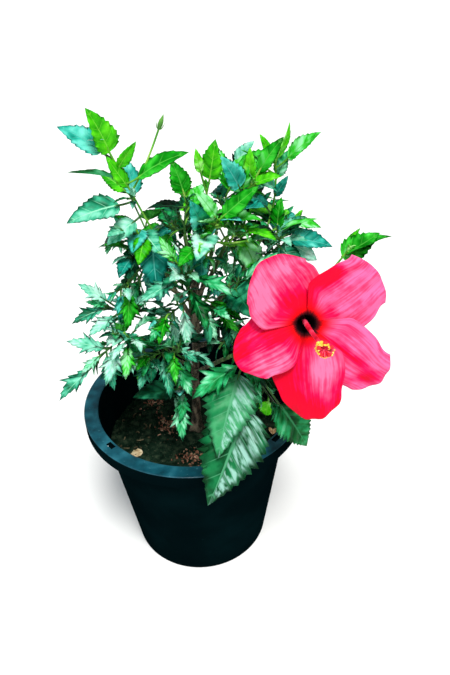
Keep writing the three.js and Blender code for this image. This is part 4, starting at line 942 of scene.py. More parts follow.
def addLeafFinish(name, look, under):  # side veins run from the rib outwards, the blade rises between them
    tree, shader, place = newMaterial(name)
    onBlade, (out, vein, tint) = carried(tree, "onBlade")
    across = mathOf(tree, "ABSOLUTE", out)
    fromVein = mathOf(tree, "PINGPONG", vein, 0.5)
    raised = eased(tree, fromVein, 0.05, 0.42, 0, 1)
    cloud, fine = cloudOf(tree, place, 60, 6), cloudOf(tree, place, 900, 2)
    panel = plus(tree, mathOf(tree, "FLOOR", vein), plus(tree, mathOf(tree, "SIGN", out), tint))
    lot = addNode(tree, "ShaderNodeTexWhiteNoise", {"W": panel}, noise_dimensions="1D").outputs["Value"]
    # where the blade rises between the veins it is painted lighter, a painted highlight
    tone = plus(tree, times(tree, tint, 0.52), times(tree, raised, 0.12))
    tone = plus(tree, tone, eased(tree, lot, 0, 1, -0.07, 0.07))
    tone = plus(tree, eased(tree, cloud, 0.36, 0.66, 0, 0.4), tone)
    paler = 0.16 if under else 0
    tones = [mix(vec(each), vec(underTone) * max(each), paler) for each in look["tones"]]
    colour = tonesOf(tree, tone, tones, 0.08, 0.84)
    if "paintedSkyShine" in look and not under:  # a painted reflection of the sky along one half of the blade
        half = eased(tree, out, -0.02, -0.16, 0, 0.85)
        edge = eased(tree, across, 0.7, 0.95, 1, 0.1)
        shine = times(tree, times(tree, half, edge), eased(tree, fromVein, 0.03, 0.16, 0.15, 1))
        uneven = eased(tree, cloudOf(tree, onBlade, 1, 4, (2, 4.2, 3)), 0.36, 0.62, 0.0, 1)
        colour = blended(tree, times(tree, shine, uneven), colour, look["paintedSkyShine"])
    veins = eased(tree, fromVein, 0.01, 0.05, look["shown"], 0)
    veins = times(tree, veins, eased(tree, across, 0.4, 0.9, 1, 0))
    lines = mathOf(tree, "MAXIMUM", veins, eased(tree, across, 0.03, 0.09, 0.8, 0))
    colour = blended(tree, lines, colour, look["vein"])
    rise = mathOf(tree, "SUBTRACT", plus(tree, times(tree, raised, 0.5), times(tree, fine, 0.2)), lines)
    rough = eased(tree, cloud, 0.35, 0.65, *((0.6, 0.75) if under else (0.36, 0.52)))
    finished(tree, shader, colour, rough, 0.05 if under else 0.1, rise, 0.3)


for hue, look in leafHues.items():
    addLeafFinish(hue + "Upper", look, False)
    addLeafFinish(hue + "Under", look, True)
addFinish("freshStem", [(0.05, 0.26, 0.012), (0.14, 0.46, 0.03), (0.34, 0.6, 0.1)], 90, (0.45, 0.62),
          stretch=(1, 1, 0.5), bump=0.12, grain=1200, gloss=0.3)
addFinish("greenStem", [(0.008, 0.04, 0.006), (0.03, 0.13, 0.02), (0.1, 0.27, 0.06)], 90, (0.5, 0.7),
          stretch=(1, 1, 0.5), bump=0.12, grain=1200, gloss=0.25)


def outlineOf(form):  # rib point, tip and reach of each tooth and notch from foot to tip
    if "lobes" in form:
        return form["lobes"]
    marks = []
    for spot in range(2 * form["teeth"]):
        share = (spot // 2 + (blade["toothAt"] if spot % 2 else 0.0)) / form["teeth"]
        along = blade["firstMark"] + blade["marked"] * share ** blade["crowd"]
        width = form["half"] * math.sin(math.pi * along ** form["skew"]) ** form["pinch"]
        width *= blade["toothOut"] if spot % 2 else 1 - form["depth"] * math.sin(math.pi * along)
        width *= 1 + blade["uneven"] * math.sin(blade["unevenTurn"] * spot)
        marks.append((max(0.0, along - blade["slant"] * width), along, width))
    return marks


def leafTemplate(form, count):  # a closed leaf in shares of its length: places, what they carry, triangles
    marks = outlineOf(leafForms[form])
    firstTooth, perVein = (1, 2) if "lobes" in leafForms[form] else (0, 4)  # rows from vein to vein
    points, looks, index, faces = [], [], {}, []

    def corner(hand, row, step, face):  # corners are shared along the rib, the edge, the foot and the tip
        rib, along, width = ((0, 0, 0), *marks, (1, 1, 0))[row]
        share, end, vein = step / count, row in (0, len(marks) + 1), (row + firstTooth) / perVein
        key = (row, face) if step == 0 else (hand, row, step, 0 if step == count else face)
        if end:
            key = (row,)
        if key not in index:
            low, high = blade["swell"]
            swell = 0 if end else blade["puff"] * (low - high * math.cos(2 * math.pi * vein))
            lift = face * blade["half"] * (1 - share**2) + swell * math.sin(math.pi * share)
            lift -= blade["groove"] * (step == 0)
            index[key] = len(points)
            points.append((mix(rib, along, share), hand * width * share, 0 if end else lift))
            looks.append((0 if end else hand * share, vein))
        return index[key]

    sides = [(hand, row, step, face) for hand in (1, -1) for row in range(len(marks) + 1)
             for step in range(count) for face in (1, -1)]
    for hand, row, step, face in sides:
        quad = [corner(hand, row + over, step + out, face) for over, out in ((0, 0), (0, 1), (1, 1), (1, 0))]
        if hand * face < 0:
            quad.reverse()
        for triangle in ([quad[0], quad[1], quad[2]], [quad[0], quad[2], quad[3]]):
            if len(set(triangle)) == 3:
                faces.append((*triangle, face))
    return np.array(points), np.array(looks), np.array(faces)


templates = {}


def templateOf(form, count):
    if (form, count) not in templates:
        templates[form, count] = leafTemplate(form, count)
    return templates[form, count]


def onLeaf(leaf, places):  # where shares of a leaf's length, width and rise lie in space
    along, out, lift = places[..., 0], places[..., 1], places[..., 2]
    bend, length = leaf["bend"], leaf["length"]
    side = unit(np.cross(leaf["ahead"], leaf["face"]))
    sway = leaf.get("sway", 0) * along**2
    wave = np.sin(blade["waves"] * along + leaf.get("phase", 0) * np.sign(out)) * (np.abs(out) > 0.03)
    ripple = blade["ripple"] * np.abs(out) * wave
    rise = np.abs(out) * math.sin(leaf["fold"]) + lift + ripple * leaf.get("rippled", 1)
    flat = length * np.sin(bend * along) / bend
    drop = length * (1 - np.cos(bend * along)) / bend
    faceAt = np.sin(bend * along)[..., None] * leaf["ahead"] + np.cos(bend * along)[..., None] * leaf["face"]
    return (leaf["foot"] + flat[..., None] * leaf["ahead"] - drop[..., None] * leaf["face"]
            + (length * (out * math.cos(leaf["fold"]) + sway))[..., None] * side
            + (length * rise)[..., None] * faceAt)


def leafShare(shoot, index):  # where along its shoot a leaf stands
    return growth["bare"] + (1 - growth["bare"]) * (index + growth["late"]) / shoot["leaves"]


def ruledLeaf(shoot, curve, index, draw):
    share = leafShare(shoot, index)
    root, along = curve(share), headingOn(curve, share)
    turn = math.radians(index * growth["turn"] + shoot["start"] + swing(draw, growth["turnSwing"]))
    out = around(along, growth["firstSide"], turn)
    out[2] *= growth["flat"]
    out = unit(out)
    spread = math.radians(mix(*growth["spread"], share) + swing(draw, growth["spreadSwing"]))
    reach = unit(along * math.cos(spread) + out * math.sin(spread))
    length = shoot["leaf"] * (1 - growth["taper"] * share**3) * mix(*growth["size"], next(draw))
    hang = shoot["droop"] * (1.1 - share) - swing(draw, growth["headSwing"])
    across = swing(draw, growth["faceSwing"][0])
    tilt = swing(draw, growth["faceSwing"][1])
    face = up + out * growth["faceOut"] + vec((across, growth["faceFront"], tilt))
    leaf = dict(root=root, reach=reach, ahead=unit(reach - up * hang), face=face, length=length,
                form=shoot["form"])
    leaf["bend"] = mix(*growth["bend"], next(draw))
    leaf["fold"] = math.radians(mix(*growth["fold"], next(draw)))
    leaf["stalk"] = mix(*growth["stalk"], next(draw))
    return leaf


def shownLeaf(shown, curve, draw):
    root, tip, face = curve(shown["at"]), vec(shown["tip"]), vec(shown["face"])
    bend = mix(*growth["bend"], next(draw))
    line = unit(tip - root)
    foot = tip - line * shown["length"] * math.sin(bend / 2) / (bend / 2)
    ahead = line * math.cos(bend / 2) + squared(face, line) * math.sin(bend / 2)
    fold = math.radians(mix(*growth["fold"], next(draw)))
    return dict(root=root, foot=foot, ahead=ahead, face=face, length=shown["length"], bend=bend, fold=fold,
                form=shown["form"])


def settled(leaf, size):
    length = leaf["length"] * size
    foot = leaf["foot"] if "foot" in leaf else leaf["root"] + leaf["reach"] * length * leaf["stalk"]
    return leaf | dict(face=squared(leaf["face"], leaf["ahead"]), length=length, foot=foot)


def cornersOf(name):  # the corners of a mass's solid, to look leaves up in
    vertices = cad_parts[name].data.vertices
    tree = kdtree.KDTree(len(vertices))
    for vertex in vertices:
        tree.insert(vertex.co / mm, vertex.index)
    tree.balance()
    return tree


def foundIn(tree, leaf):  # whether the solid has this leaf: its tip and half of its outline, or most of that
    edge = [(along, hand * out, 0) for along, out in solidEdges[leaf["form"]] for hand in (1, -1)]
    places = onLeaf(leaf | dict(rippled=0), np.array(edge + [(1, 0, 0)]))
    hits = [tree.find(place)[2] < growth["near"] for place in places]
    return hits[-1] and sum(hits) > len(hits) / 2 or sum(hits) > growth["most"] * len(hits)


def firstFound(tree, grow):
    for attempt in range(growth["tries"]):
        leaf = settled(grow(attempt), growth["shrink"] ** attempt)
        if foundIn(tree, leaf):
            return leaf
    return None


def shootCurves(mass):
    line = boughLines[mass["bough"]]
    ahead = headingOn(line, 1)
    foot = line(1) + ahead * growth["clear"]
    stemTip = vec(mass["shoots"][0]["tip"])
    curves = [bent(foot, foot + ahead * np.linalg.norm(stemTip - foot) * growth["knee"], stemTip)]
    for shoot in mass["shoots"][1:]:
        start, tip = curves[0](shoot["at"]), vec(shoot["tip"])
        curves.append(bowed(start, tip, (0, 0, -growth["sag"] * np.linalg.norm(tip - start))))
    return curves


stem = dict(thick=1.4, thin=0.75, knot=0.32, knotLength=1.6, taper=0.7, rings=24, sides=6, sunk=-0.02)
finer = dict(  # the short twigs with small leaves that a mass is filled with
    share=0.9, first=0.2, last=0.9, length=(9, 19), ahead=0.8, rise=0.3, sag=-0.1, thick=(0.55, 0.35),
    rings=6, leaves=4, leafFrom=0.5, leafAhead=(0.5, 1.2), leafLength=(10, 19), faceOut=0.4,
)
tuft = dict(leaves=4, at=0.985, spread=(14, 34), length=(9, 15))
small = dict(stalk=0.18, bend=(0.2, 0.8), fold=(12, 34))
leafStalk = dict(root=0.72, foot=0.5, ribs=[0.4, 0.15], rings=5, knee=0.4, fullLength=40, most=1.4)
steps = dict(shown=3, plain=2, small=1)  # from the rib to the edge, which a leaf's faces are counted by
heaps = {piece: Heap(*[hue + side for hue, look in leafHues.items() if look["piece"] == piece
                       for side in ("Upper", "Under")]) for piece in leafPieces}
freshPaths, greenPaths = Paths(), Paths()


def pathsFor(hue):
    return freshPaths if hue in ("lime", "fresh") else greenPaths


def dressLeaf(leaf, hue, count, draw, tint=None):
    leaf = leaf | dict(sway=swing(draw, blade["curl"]), phase=next(draw) * 6)
    anyTint = next(draw)
    places, looks, faces = templateOf(leaf["form"], count)
    heap = heaps[leafHues[hue]["piece"]]
    upper, under = (heap.materials.index(hue + side) for side in ("Upper", "Under"))
    values = np.concatenate([looks, np.full((len(looks), 1), anyTint if tint is None else tint)], 1)
    heap.add(onLeaf(leaf, places), faces[:, :3], np.where(faces[:, 3] > 0, upper, under), values)
    if leafHues[hue]["piece"] == "litter":
        return
    foot, root, rings = leaf["foot"], leaf["root"], leafStalk["rings"]
    size = min(leaf["length"] / leafStalk["fullLength"], leafStalk["most"])
    stalk = bent(root, foot - leaf["ahead"] * leafStalk["knee"] * np.linalg.norm(foot - root), foot)
    rib = onLeaf(leaf, np.array([(0.05, 0, -0.006), (0.13, 0, -0.02)]))  # it runs on under the blade's foot
    thick = [*np.linspace(leafStalk["root"], leafStalk["foot"], rings), *leafStalk["ribs"]]
    pathsFor(hue).add([*onLine(stalk, rings), *rib], size * np.array(thick))


def smallLeaf(root, reach, face, length, form, draw):
    leaf = dict(root=root, reach=reach, ahead=reach, face=face, length=length, form=form)
    leaf["stalk"] = small["stalk"]
    leaf["bend"] = mix(*small["bend"], next(draw))
    leaf["fold"] = math.radians(mix(*small["fold"], next(draw)))
    return settled(leaf, 1)


def growTuft(curve, hues, draw):  # the smallest leaves, still closed round a shoot's tip
    ahead, tip = headingOn(curve, 1), curve(tuft["at"])
    for index in range(tuft["leaves"]):
        out = around(ahead, growth["firstSide"], index * golden + next(draw))
        spread = math.radians(mix(*tuft["spread"], next(draw)))
        reach = ahead * math.cos(spread) + out * math.sin(spread)
        face = unit(ahead * math.sin(spread) - out * math.cos(spread))
        leaf = smallLeaf(tip, reach, face, mix(*tuft["length"], next(draw)), "tuft", draw)
        dressLeaf(leaf, hues[int(next(draw) * 2)], steps["small"], draw)


def growFinerTwig(curve, share, turn, hues, box, draw):
    root, along = curve(share), headingOn(curve, share)
    out = around(along, growth["firstSide"], turn)
    length = mix(*finer["length"], next(draw))
    tip = root + unit(along * finer["ahead"] + out + up * finer["rise"]) * length
    line = bowed(root, tip, (0, 0, finer["sag"] * length))
    leaves = []
    for index in range(finer["leaves"]):
        at = mix(finer["leafFrom"], 1, index / (finer["leaves"] - 1))
        ahead = headingOn(line, at)
        wide = around(ahead, growth["firstSide"], index * golden + turn)
        reach = unit(ahead * mix(*finer["leafAhead"], at) + wide)
        size = mix(*finer["leafLength"], next(draw))
        leaves.append(smallLeaf(line(at), reach, up + wide * finer["faceOut"], size, "small", draw))
    ends = np.array([onLeaf(leaf, np.array([(1, 0, 0)]))[0] for leaf in leaves])
    if (ends < box[0]).any() or (ends > box[1]).any():  # it would stand out of its mass
        return
    pathsFor(hues[0]).add(onLine(line, finer["rings"]), np.linspace(*finer["thick"], finer["rings"]))
    dealt = [*hues[:3], "mid", "deep"]
    for index, leaf in enumerate(leaves):
        dressLeaf(leaf, dealt[(index + int(next(draw) * 2)) % len(dealt)], steps["small"], draw)


def growStem(mass, shoot, curve, first, roots):  # a shoot's own wood, with a knot at each leaf
    shares = np.linspace(0.0 if first else stem["sunk"], 1, stem["rings"])
    along = np.clip(shares, 0, 1)
    thick = boughs[mass["bough"]]["thin"] if first else stem["thick"]
    widths = mix(thick, stem["thin"], along ** stem["taper"])
    if "bud" in shoot:
        widths = mix(stem["thin"], stem["thick"], along)
    length = np.linalg.norm(curve(1) - curve(0))
    for root in roots:
        widths = widths * (1 + stem["knot"] * np.exp(-((shares - root) * length / stem["knotLength"]) ** 2))
    young = mass["hues"] == "bright" or curve(1)[2] > growth["youngShoot"]
    (freshPaths if young else greenPaths).add([curve(share) for share in shares], widths)


def growLeaves(mass, shoot, curve, shootIndex, tree, looks):  # gives where along the shoot they stand
    roots, seed, hues = [], mass["seed"], sprayHues[mass["hues"]]
    perMass, perShoot = growth["shownSeed"]
    for index, shown in enumerate(shoot.get("show", [])):
        grown = shownLeaf(shown, curve, numbersFrom(seed * perMass + shootIndex * perShoot + index))
        leaf = firstFound(tree, lambda attempt: grown)
        if leaf:
            roots.append(shown["at"])
            dressLeaf(leaf, shown["hue"], steps["shown"], looks, shown["tint"])
    for extra in shoot.get("extra", []):  # a leaf that only the photo has
        dressLeaf(settled(shownLeaf(extra, curve, numbersFrom(seed)), 1), extra["hue"], steps["plain"], looks)
    perMass, perShoot, perLeaf = growth["ruledSeed"]
    for index in range(shoot["leaves"]):
        leaf = firstFound(tree, lambda attempt: ruledLeaf(shoot, curve, index, numbersFrom(
            seed * perMass + shootIndex * perShoot + index * perLeaf + attempt)))
        if leaf and index not in shoot.get("open", []):  # left open where the photo shows sky
            roots.append(leafShare(shoot, index))
            dealt = sprayHues["bright"] if leaf["foot"][2] > growth["sunlit"] else hues
            dressLeaf(leaf, dealt[int(next(looks) * len(dealt))], steps["plain"], looks)
    return roots


def growMass(name, mass):
    tree, hues = cornersOf(name), sprayHues[mass["hues"]]
    box = [vec(corner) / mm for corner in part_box(name)]
    perMass, perShoot = growth["firstTurn"]
    for shootIndex, (shoot, curve) in enumerate(zip(mass["shoots"], shootCurves(mass))):
        shoot = shoot | dict(start=mass["seed"] * perMass + shootIndex * perShoot)
        looks = numbersFrom(mass["seed"] * growth["looksSeed"] + shootIndex)
        roots = growLeaves(mass, shoot, curve, shootIndex, tree, looks)
        growStem(mass, shoot, curve, shootIndex == 0, roots)
        if "bud" not in shoot:
            growTuft(curve, hues, looks)
        count = shoot["leaves"] * shoot.get("finer", mass.get("finer", finer["share"]))
        for index in range(int(count)):
            share = mix(finer["first"], finer["last"], (index + 0.5) / count)
            growFinerTwig(curve, share, index * golden + shoot["start"], hues, box, looks)


for massName, mass in foliage.items():
    growMass(massName, mass)

litter = [  # dry leaves that lie on the soil: place, heading, length, form and colour
    (-63, -33, 200, 19, "small", "dry"), (88, -24, 80, 20, "small", "ruddy"),
    (-20, -70, 120, 8, "tuft", "dry"), (34, -72, 310, 12, "small", "ruddy"),
    (-20, 70, 60, 20, "small", "dry"),
]
lying = dict(seed=19, rise=0.12, lift=2.4, face=(0, -0.5, 0), bend=1.1, fold=30)


def dropLitter():
    draw = numbersFrom(lying["seed"])
    for x, y, turn, length, form, hue in litter:
        ahead = vec((math.cos(math.radians(turn)), math.sin(math.radians(turn)), lying["rise"]))
        foot = vec(soilPlace(x, y, lying["lift"]))
        leaf = dict(root=foot, foot=foot, ahead=unit(ahead), face=up + vec(lying["face"]), length=length,
                    form=form, bend=lying["bend"], fold=math.radians(lying["fold"]))
        dressLeaf(settled(leaf, 1), hue, steps["plain"], draw)


dropLitter()
for piece, slot in leafPieces.items():
    nodes = () if piece == "litter" else foliage
    addPiece("leaves_" + piece, heaps[piece].mesh("leaves_" + piece, "onBlade"), slot, *nodes)
for name, paths, finish in (
        ("twigs_fresh", freshPaths, "freshStem"), ("twigs_green", greenPaths, "greenStem")):
    addPiece(name, tubesOf(paths, name, stem["sides"], finish), "green_stem", *foliage)
report(f"{sum(len(heap.points) for heap in heaps.values())} leaves ready")

# The bloom: five overlapping petals round a long column with its stamens, and a green cup behind them

bloom = dict(
    throat=(97, -123, 373), lift=13, widening=(0.12, 0.52), tube=26, tubeShare=0.3, tubeRadius=4.4,
    throatRadius=8, throatSpread=50, dish=7, dishBow=2.2, overlap=5, thickness=0.6, tipThin=0.6, edgeThin=0.5,
    ruffle=1.6, ruffleAcross=9, ruffleAlong=5, edgeRuffle=0.7, edgeAlong=17, edgeAcross=6,
    frill=0.03, frillAlong=23, along=52, across=44, vein=0.16, veins=13, veinSharpness=0.6, fullness=0.8,
    opening=3, spreading=4,  # how soon past the throat a petal tilts over the next one and gets its width
    floor=((-26.2, -24.6), 4.6, 20),  # of the tube: its ends, radius and sides
)
# The petals' base redness is partly their own colour and partly painted light: the petals at headings 201 and
# 270 are painted redder partly as painted shade, the others pinker partly as painted light
petals = [  # heading, reach, half width, how round the tip is, sweep, base redness, and red and pale patches:
    # where along and across, how far they spread both ways, and how much redder or paler they are
    dict(turn=34, reach=71, half=27.5, round=0.14, sweep=2, rednessAndShade=0.18, finish="petalPinker", patches=[
        (0.5, 0.9, 0.2, 0.13, 1.2), (0.2, 0.95, 0.2, 0.14, 0.9), (0.2, 0.5, 0.2, 0.3, 0.35),
        (0.8, 0.1, 0.3, 0.3, -0.1)]),
    dict(turn=124, reach=68, half=28, round=0.33, sweep=-2, rednessAndShade=0.22, finish="petalRedder", patches=[
        (0.1, 0.4, 0.25, 0.5, 0.8), (0.4, 0.42, 0.25, 0.16, 0.5), (1, 0.5, 0.08, 0.6, 0.4),
        (0.6, 0.8, 0.3, 0.25, -0.25)]),
    dict(turn=201, reach=67, half=22, round=0.25, sweep=4, rednessAndShade=0.7, finish="petalRedder", patches=[
        (0.2, 0.3, 0.4, 0.35, 0.5), (1, 0.4, 0.2, 0.3, 0.4), (0.6, 0.85, 0.32, 0.3, -0.75)]),
    dict(turn=270, reach=88, half=23, round=0.2, sweep=4, rednessAndShade=0.75, finish="petalRedder", patches=[
        (0.3, 0.12, 0.45, 0.25, 0.5), (0.95, 0.5, 0.22, 0.6, 0.4), (0.42, 0.72, 0.3, 0.2, -0.9)]),
    dict(turn=318, reach=85, half=22, round=0.17, sweep=2, rednessAndShade=0.15, finish="petalPinker", patches=[
        (0.55, 0.55, 0.5, 0.06, 0.7), (0.85, 0.42, 0.12, 0.12, 0.8), (0.5, 0.08, 0.3, 0.16, 0.5)]),
]
bloomTurn = np.array(Matrix.Rotation(math.radians(90 - bloom["lift"]), 3, "X"))


def inBloom(places):  # from the bloom's own frame, which looks out along its throat, to the plant's
    return np.asarray(places, float) @ bloomTurn.T + vec(bloom["throat"])


def skinInBloom(points, radii, sides):
    shape, faces = skin(ringsAlong(points, radii, sides))
    return inBloom(shape), faces


def pastTube(u):  # how far along its open part a petal is, from 0 at the throat to 1 at the tip
    return (u - bloom["tubeShare"]) / (1 - bloom["tubeShare"])


def petalPlace(petal, u, v):
    turn, reach, inner = petal["turn"], petal["reach"], bloom["throatRadius"]
    across, flare = 2 * v - 1, np.maximum(pastTube(u), 0)
    inTube = np.minimum(u / bloom["tubeShare"], 1)
    heading = np.radians(turn + petal["sweep"] * flare**2)
    out = inner + (reach - inner) * flare * (1 - petal["round"] * (flare * across) ** 2)
    width = petal["half"] * np.sin(math.pi * mix(*bloom["widening"], flare)) ** bloom["fullness"]
    lean = heading + math.radians(bloom["throatSpread"]) * across * (1 - flare) ** 2
    wave = np.sin(bloom["ruffleAcross"] * across + bloom["ruffleAlong"] * u + turn)
    edge = np.sin(bloom["edgeAlong"] * u + bloom["edgeAcross"] * across + turn)
    edge = edge * flare**2 * np.abs(across) ** 3
    opened = np.minimum(flare * bloom["opening"], 1)
    vein = -np.abs(np.sin(bloom["veins"] * across * math.pi / 2)) ** bloom["veinSharpness"] * opened
    radius = np.where(flare > 0, out, mix(bloom["tubeRadius"], inner, inTube**2))
    height = bloom["dish"] * np.sin(bloom["dishBow"] * flare) + bloom["ruffle"] * (
        flare**2 * wave + bloom["edgeRuffle"] * edge)
    height += bloom["overlap"] * across * opened + bloom["vein"] * vein
    height = np.where(flare > 0, height, -bloom["tube"] * (1 - inTube))
    frill = 1 + bloom["frill"] * np.sin(bloom["frillAlong"] * u + turn) * flare
    slide = width * across * np.minimum(flare * bloom["spreading"], 1) * frill
    return np.stack([radius * np.cos(lean) - slide * np.sin(heading),
                     radius * np.sin(lean) + slide * np.cos(heading), height], -1)


def closedSheet(places, thickness):  # a thin closed shell round a grid of places
    along, across = places.shape[:2]
    square = np.cross(np.gradient(places, axis=0), np.gradient(places, axis=1))
    square /= np.linalg.norm(square, axis=2, keepdims=True) + 1e-9
    half = square * (np.reshape(thickness, (along, across, 1)) / 2)
    points = np.concatenate([(places + half).reshape(-1, 3), (places - half).reshape(-1, 3)])
    row, cell = np.meshgrid(np.arange(along - 1), np.arange(across - 1), indexing="ij")
    here, back = (row * across + cell).ravel(), along * across
    beyond = here + across
    faces = [np.stack([here, beyond, beyond + 1], 1), np.stack([here, beyond + 1, here + 1], 1)]
    faces += [back + face[:, ::-1] for face in faces]
    rim = np.concatenate([np.arange(across), np.arange(1, along) * across + across - 1,
                          (along - 1) * across + np.arange(across - 2, -1, -1),
                          np.arange(along - 2, 0, -1) * across])
    after = np.roll(rim, -1)
    faces += [np.stack([rim, after, back + after], 1), np.stack([rim, back + after, back + rim], 1)]
    return points, np.concatenate(faces)


def makePetals():
    heap = Heap("petalRedder", "petalPinker")
    u, v = np.meshgrid(np.linspace(0, 1, bloom["along"]), np.linspace(0, 1, bloom["across"]), indexing="ij")
    thickness = bloom["thickness"] * (1 - bloom["tipThin"] * u)
    thickness = thickness * (1 - bloom["edgeThin"] * np.abs(2 * v - 1) ** 4)
    for index, petal in enumerate(petals):
        points, faces = closedSheet(petalPlace(petal, u, v), thickness)
        rednessAndShade = petal["rednessAndShade"] + 0 * u
        for along, across, spreadAlong, spreadAcross, strength in petal["patches"]:
            rednessAndShade += strength * np.exp(
                -((pastTube(u) - along) / spreadAlong) ** 2 - ((v - across) / spreadAcross) ** 2)
        values = np.stack([u, v + 2 * index, rednessAndShade], -1).reshape(-1, 3)
        heap.add(inBloom(points), faces, petal["finish"], np.concatenate([values, values]))
    ends, radius, sides = bloom["floor"]  # a plug that closes the tube's foot
    points, faces = skinInBloom(vec([(0, 0, end) for end in ends]), [radius, radius], sides)
    heap.add(points, faces, "petalRedder", np.full((len(points), 3), (0, 0, 1)))
    return heap.mesh("petals", "onPetal")


def addPetalFinish(name, colours):
    tree, shader, place = newMaterial(name)
    onPetal, (along, across, rednessAndShade) = carried(tree, "onPetal")
    streak, fine, cloud = (cloudOf(tree, onPetal, 1.0, detail, stretch) for detail, stretch in (
        (5, (3, 24, 0)), (2, (4, 70, 0)), (3, (5, 3.6, 0))))
    uneven = plus(tree, eased(tree, streak, 0.34, 0.66, -0.2, 0.2), eased(tree, cloud, 0.3, 0.7, -0.22, 0.22))
    colour = tonesOf(tree, plus(tree, rednessAndShade, uneven), colours, 0.0, 1.0)
    ragged = plus(tree, along, eased(tree, streak, 0.34, 0.66, -0.008, 0.008))
    eye = tonesOf(tree, ragged, [(0.003, 0, 0.001), (0.09, 0, 0.003), (0.8, 0, 0.004)], 0.3, 0.345)
    colour = blended(tree, eased(tree, ragged, 0.34, 0.45, 1, 0), colour, eye)
    finished(tree, shader, colour, 0.6, 0.08, plus(tree, streak, times(tree, fine, 0.4)), 0.5)


addPetalFinish("petalRedder", [
    (0.88, 0.155, 0.32), (0.84, 0.055, 0.165), (0.82, 0.002, 0.08), (0.81, 0, 0.025)])
addPetalFinish("petalPinker", [
    (0.88, 0.14, 0.36), (0.85, 0.06, 0.195), (0.82, 0.003, 0.09), (0.81, 0, 0.03)])
addFinish("columnSkin", [(0.45, 0.002, 0.015), (0.85, 0.02, 0.08), (0.95, 0.14, 0.24)], 90, (0.4, 0.55),
          bump=0.05, grain=900)
addFinish("pollen", [(0.8, 0.34, 0.01), (0.97, 0.62, 0.05), (1, 0.85, 0.25)], 400, (0.8, 0.95),
          bump=0.2, grain=2500)
addFinish("stigma", [(0.6, 0.001, 0.008), (0.95, 0.01, 0.03)], 500, (0.6, 0.8), bump=0.15, grain=3000)
addFinish("cupGreen", [(0.03, 0.15, 0.012), (0.07, 0.27, 0.025), (0.14, 0.38, 0.05)], 110, (0.45, 0.6),
          bump=0.1, grain=900)
addPiece("petals", makePetals(), "petal", "flower_petals")

column = dict(
    foot=2.3, tip=1.3, bow=[(0, 0, -23.9), (0, 0, 33), (0, 4, 66)], swell=0.05, swells=90, sides=20, rings=60,
    stamens=76, first=0.83, last=0.985, gather=0.8, lean=(15, 60), filament=5.4, longer=1.4,
    filamentFoot=0.6, filamentBow=-0.4, filamentThick=[0.22, 0.2, 0.18, 0.16], filamentSides=4,
    anther=1.05, antherSizes=(0.75, 1.2), antherForm=(1.25, 0.8, 0.65), antherSeed=5,
    pads=5, padTurn=0.3, padLean=30, padReach=4.8, pad=1.75, padOut=0.6, padHalf=0.8, padRings=11,
    padSides=14, padEnd=1.02, arm=0.34, armBow=(0, 0, -0.6), armRings=8, armSides=8,
)
columnLine = bent(*vec(column["bow"]))


def onColumn(share, turn, lean):  # a point on the column and a heading that stands off it
    ahead = headingOn(columnLine, share)
    return columnLine(share), unit(around(ahead, (1, 0, 0), turn) + ahead * math.tan(math.radians(lean)))


def stamenTree():
    tree, given = newTree("stamensOnColumn", {"Anther": "Float", "Seed": "Int", "Material": "Material"})
    anther = addNode(tree, "GeometryNodeMeshIcoSphere", {"Radius": given["Anther"], "Subdivisions": 2})
    lobes = addNode(tree, "GeometryNodeTransform", {"Geometry": anther, "Scale": column["antherForm"]})
    heading = pointValue(tree, "heading", "FLOAT_VECTOR")
    facing = addNode(tree, "FunctionNodeAlignEulerToVector", {"Vector": heading}, axis="Z")
    placed = addNode(tree, "GeometryNodeInstanceOnPoints", {
        "Points": given["Geometry"], "Instance": lobes, "Rotation": facing,
        "Scale": anyOf(tree, given["Seed"], *column["antherSizes"])})
    shaded = addNode(tree, "GeometryNodeSetShadeSmooth", {"Geometry": placed})
    return endTree(tree, shaded, given["Material"])


def makeColumn():
    heap = Heap("columnSkin")
    share = np.linspace(0, 1, column["rings"])
    swell = 1 + column["swell"] * np.sin(share * column["swells"])
    radii = mix(column["foot"], column["tip"], share) * swell
    heap.add(*skinInBloom(onLine(columnLine, column["rings"]), radii, column["sides"]), "columnSkin")
    return heap.mesh("column")


def makeStamens():
    filaments, tips, headings = Paths(), [], []
    for index in range(column["stamens"]):
        late = ((index + 0.5) / column["stamens"]) ** column["gather"]  # most stand near the column's end
        share = mix(column["first"], column["last"], late)
        lean = mix(*column["lean"], (index * 0.618) % 1)  # two even mixes of large and small, out of step
        reach = mix(column["filament"], column["filament"] * column["longer"], (index * 0.382) % 1)
        root, heading = onColumn(share, index * golden, lean)
        tip = root + heading * reach
        bow = headingOn(columnLine, share) * column["filamentBow"]
        line = bowed(root + heading * column["filamentFoot"], tip, bow)
        filaments.add(inBloom(onLine(line, len(column["filamentThick"]))), column["filamentThick"])
        tips.append(tip)
        headings.append(bloomTurn @ heading)
    anthers = grownBy(stamenTree(), carrierOf(inBloom(tips), heading=headings), "anthers", {
        "Anther": column["anther"] * mm, "Seed": column["antherSeed"],
        "Material": bpy.data.materials["pollen"]})
    return tubesOf(filaments, "filaments", column["filamentSides"], "columnSkin"), anthers


def makeStigma():
    heap = Heap("stigma")
    size, count, part = column["pad"], column["armRings"], np.linspace(-1, 1, column["padRings"])
    radii = size * np.sqrt(column["padEnd"] - part**2)
    for index in range(column["pads"]):
        turn = 2 * math.pi * index / column["pads"] + column["padTurn"]
        root, heading = onColumn(column["last"], turn, column["padLean"])
        tip = root + heading * column["padReach"]
        arm = onLine(bowed(root, tip, column["armBow"]), count)
        heap.add(*skinInBloom(arm, np.full(count, column["arm"]), column["armSides"]), "stigma")
        middle = tip + heading * size * column["padOut"]
        line = [middle + heading * size * column["padHalf"] * spot for spot in part]
        heap.add(*skinInBloom(line, radii, column["padSides"]), "stigma")
    return heap.mesh("stigma_pads")


threads, anthers = makeStamens()
addPiece("column", makeColumn(), "column", "flower_column")
addPiece("filaments", threads, "column")
addPiece("anthers", anthers, "column")
addPiece("stigma_pads", makeStigma(), "column")

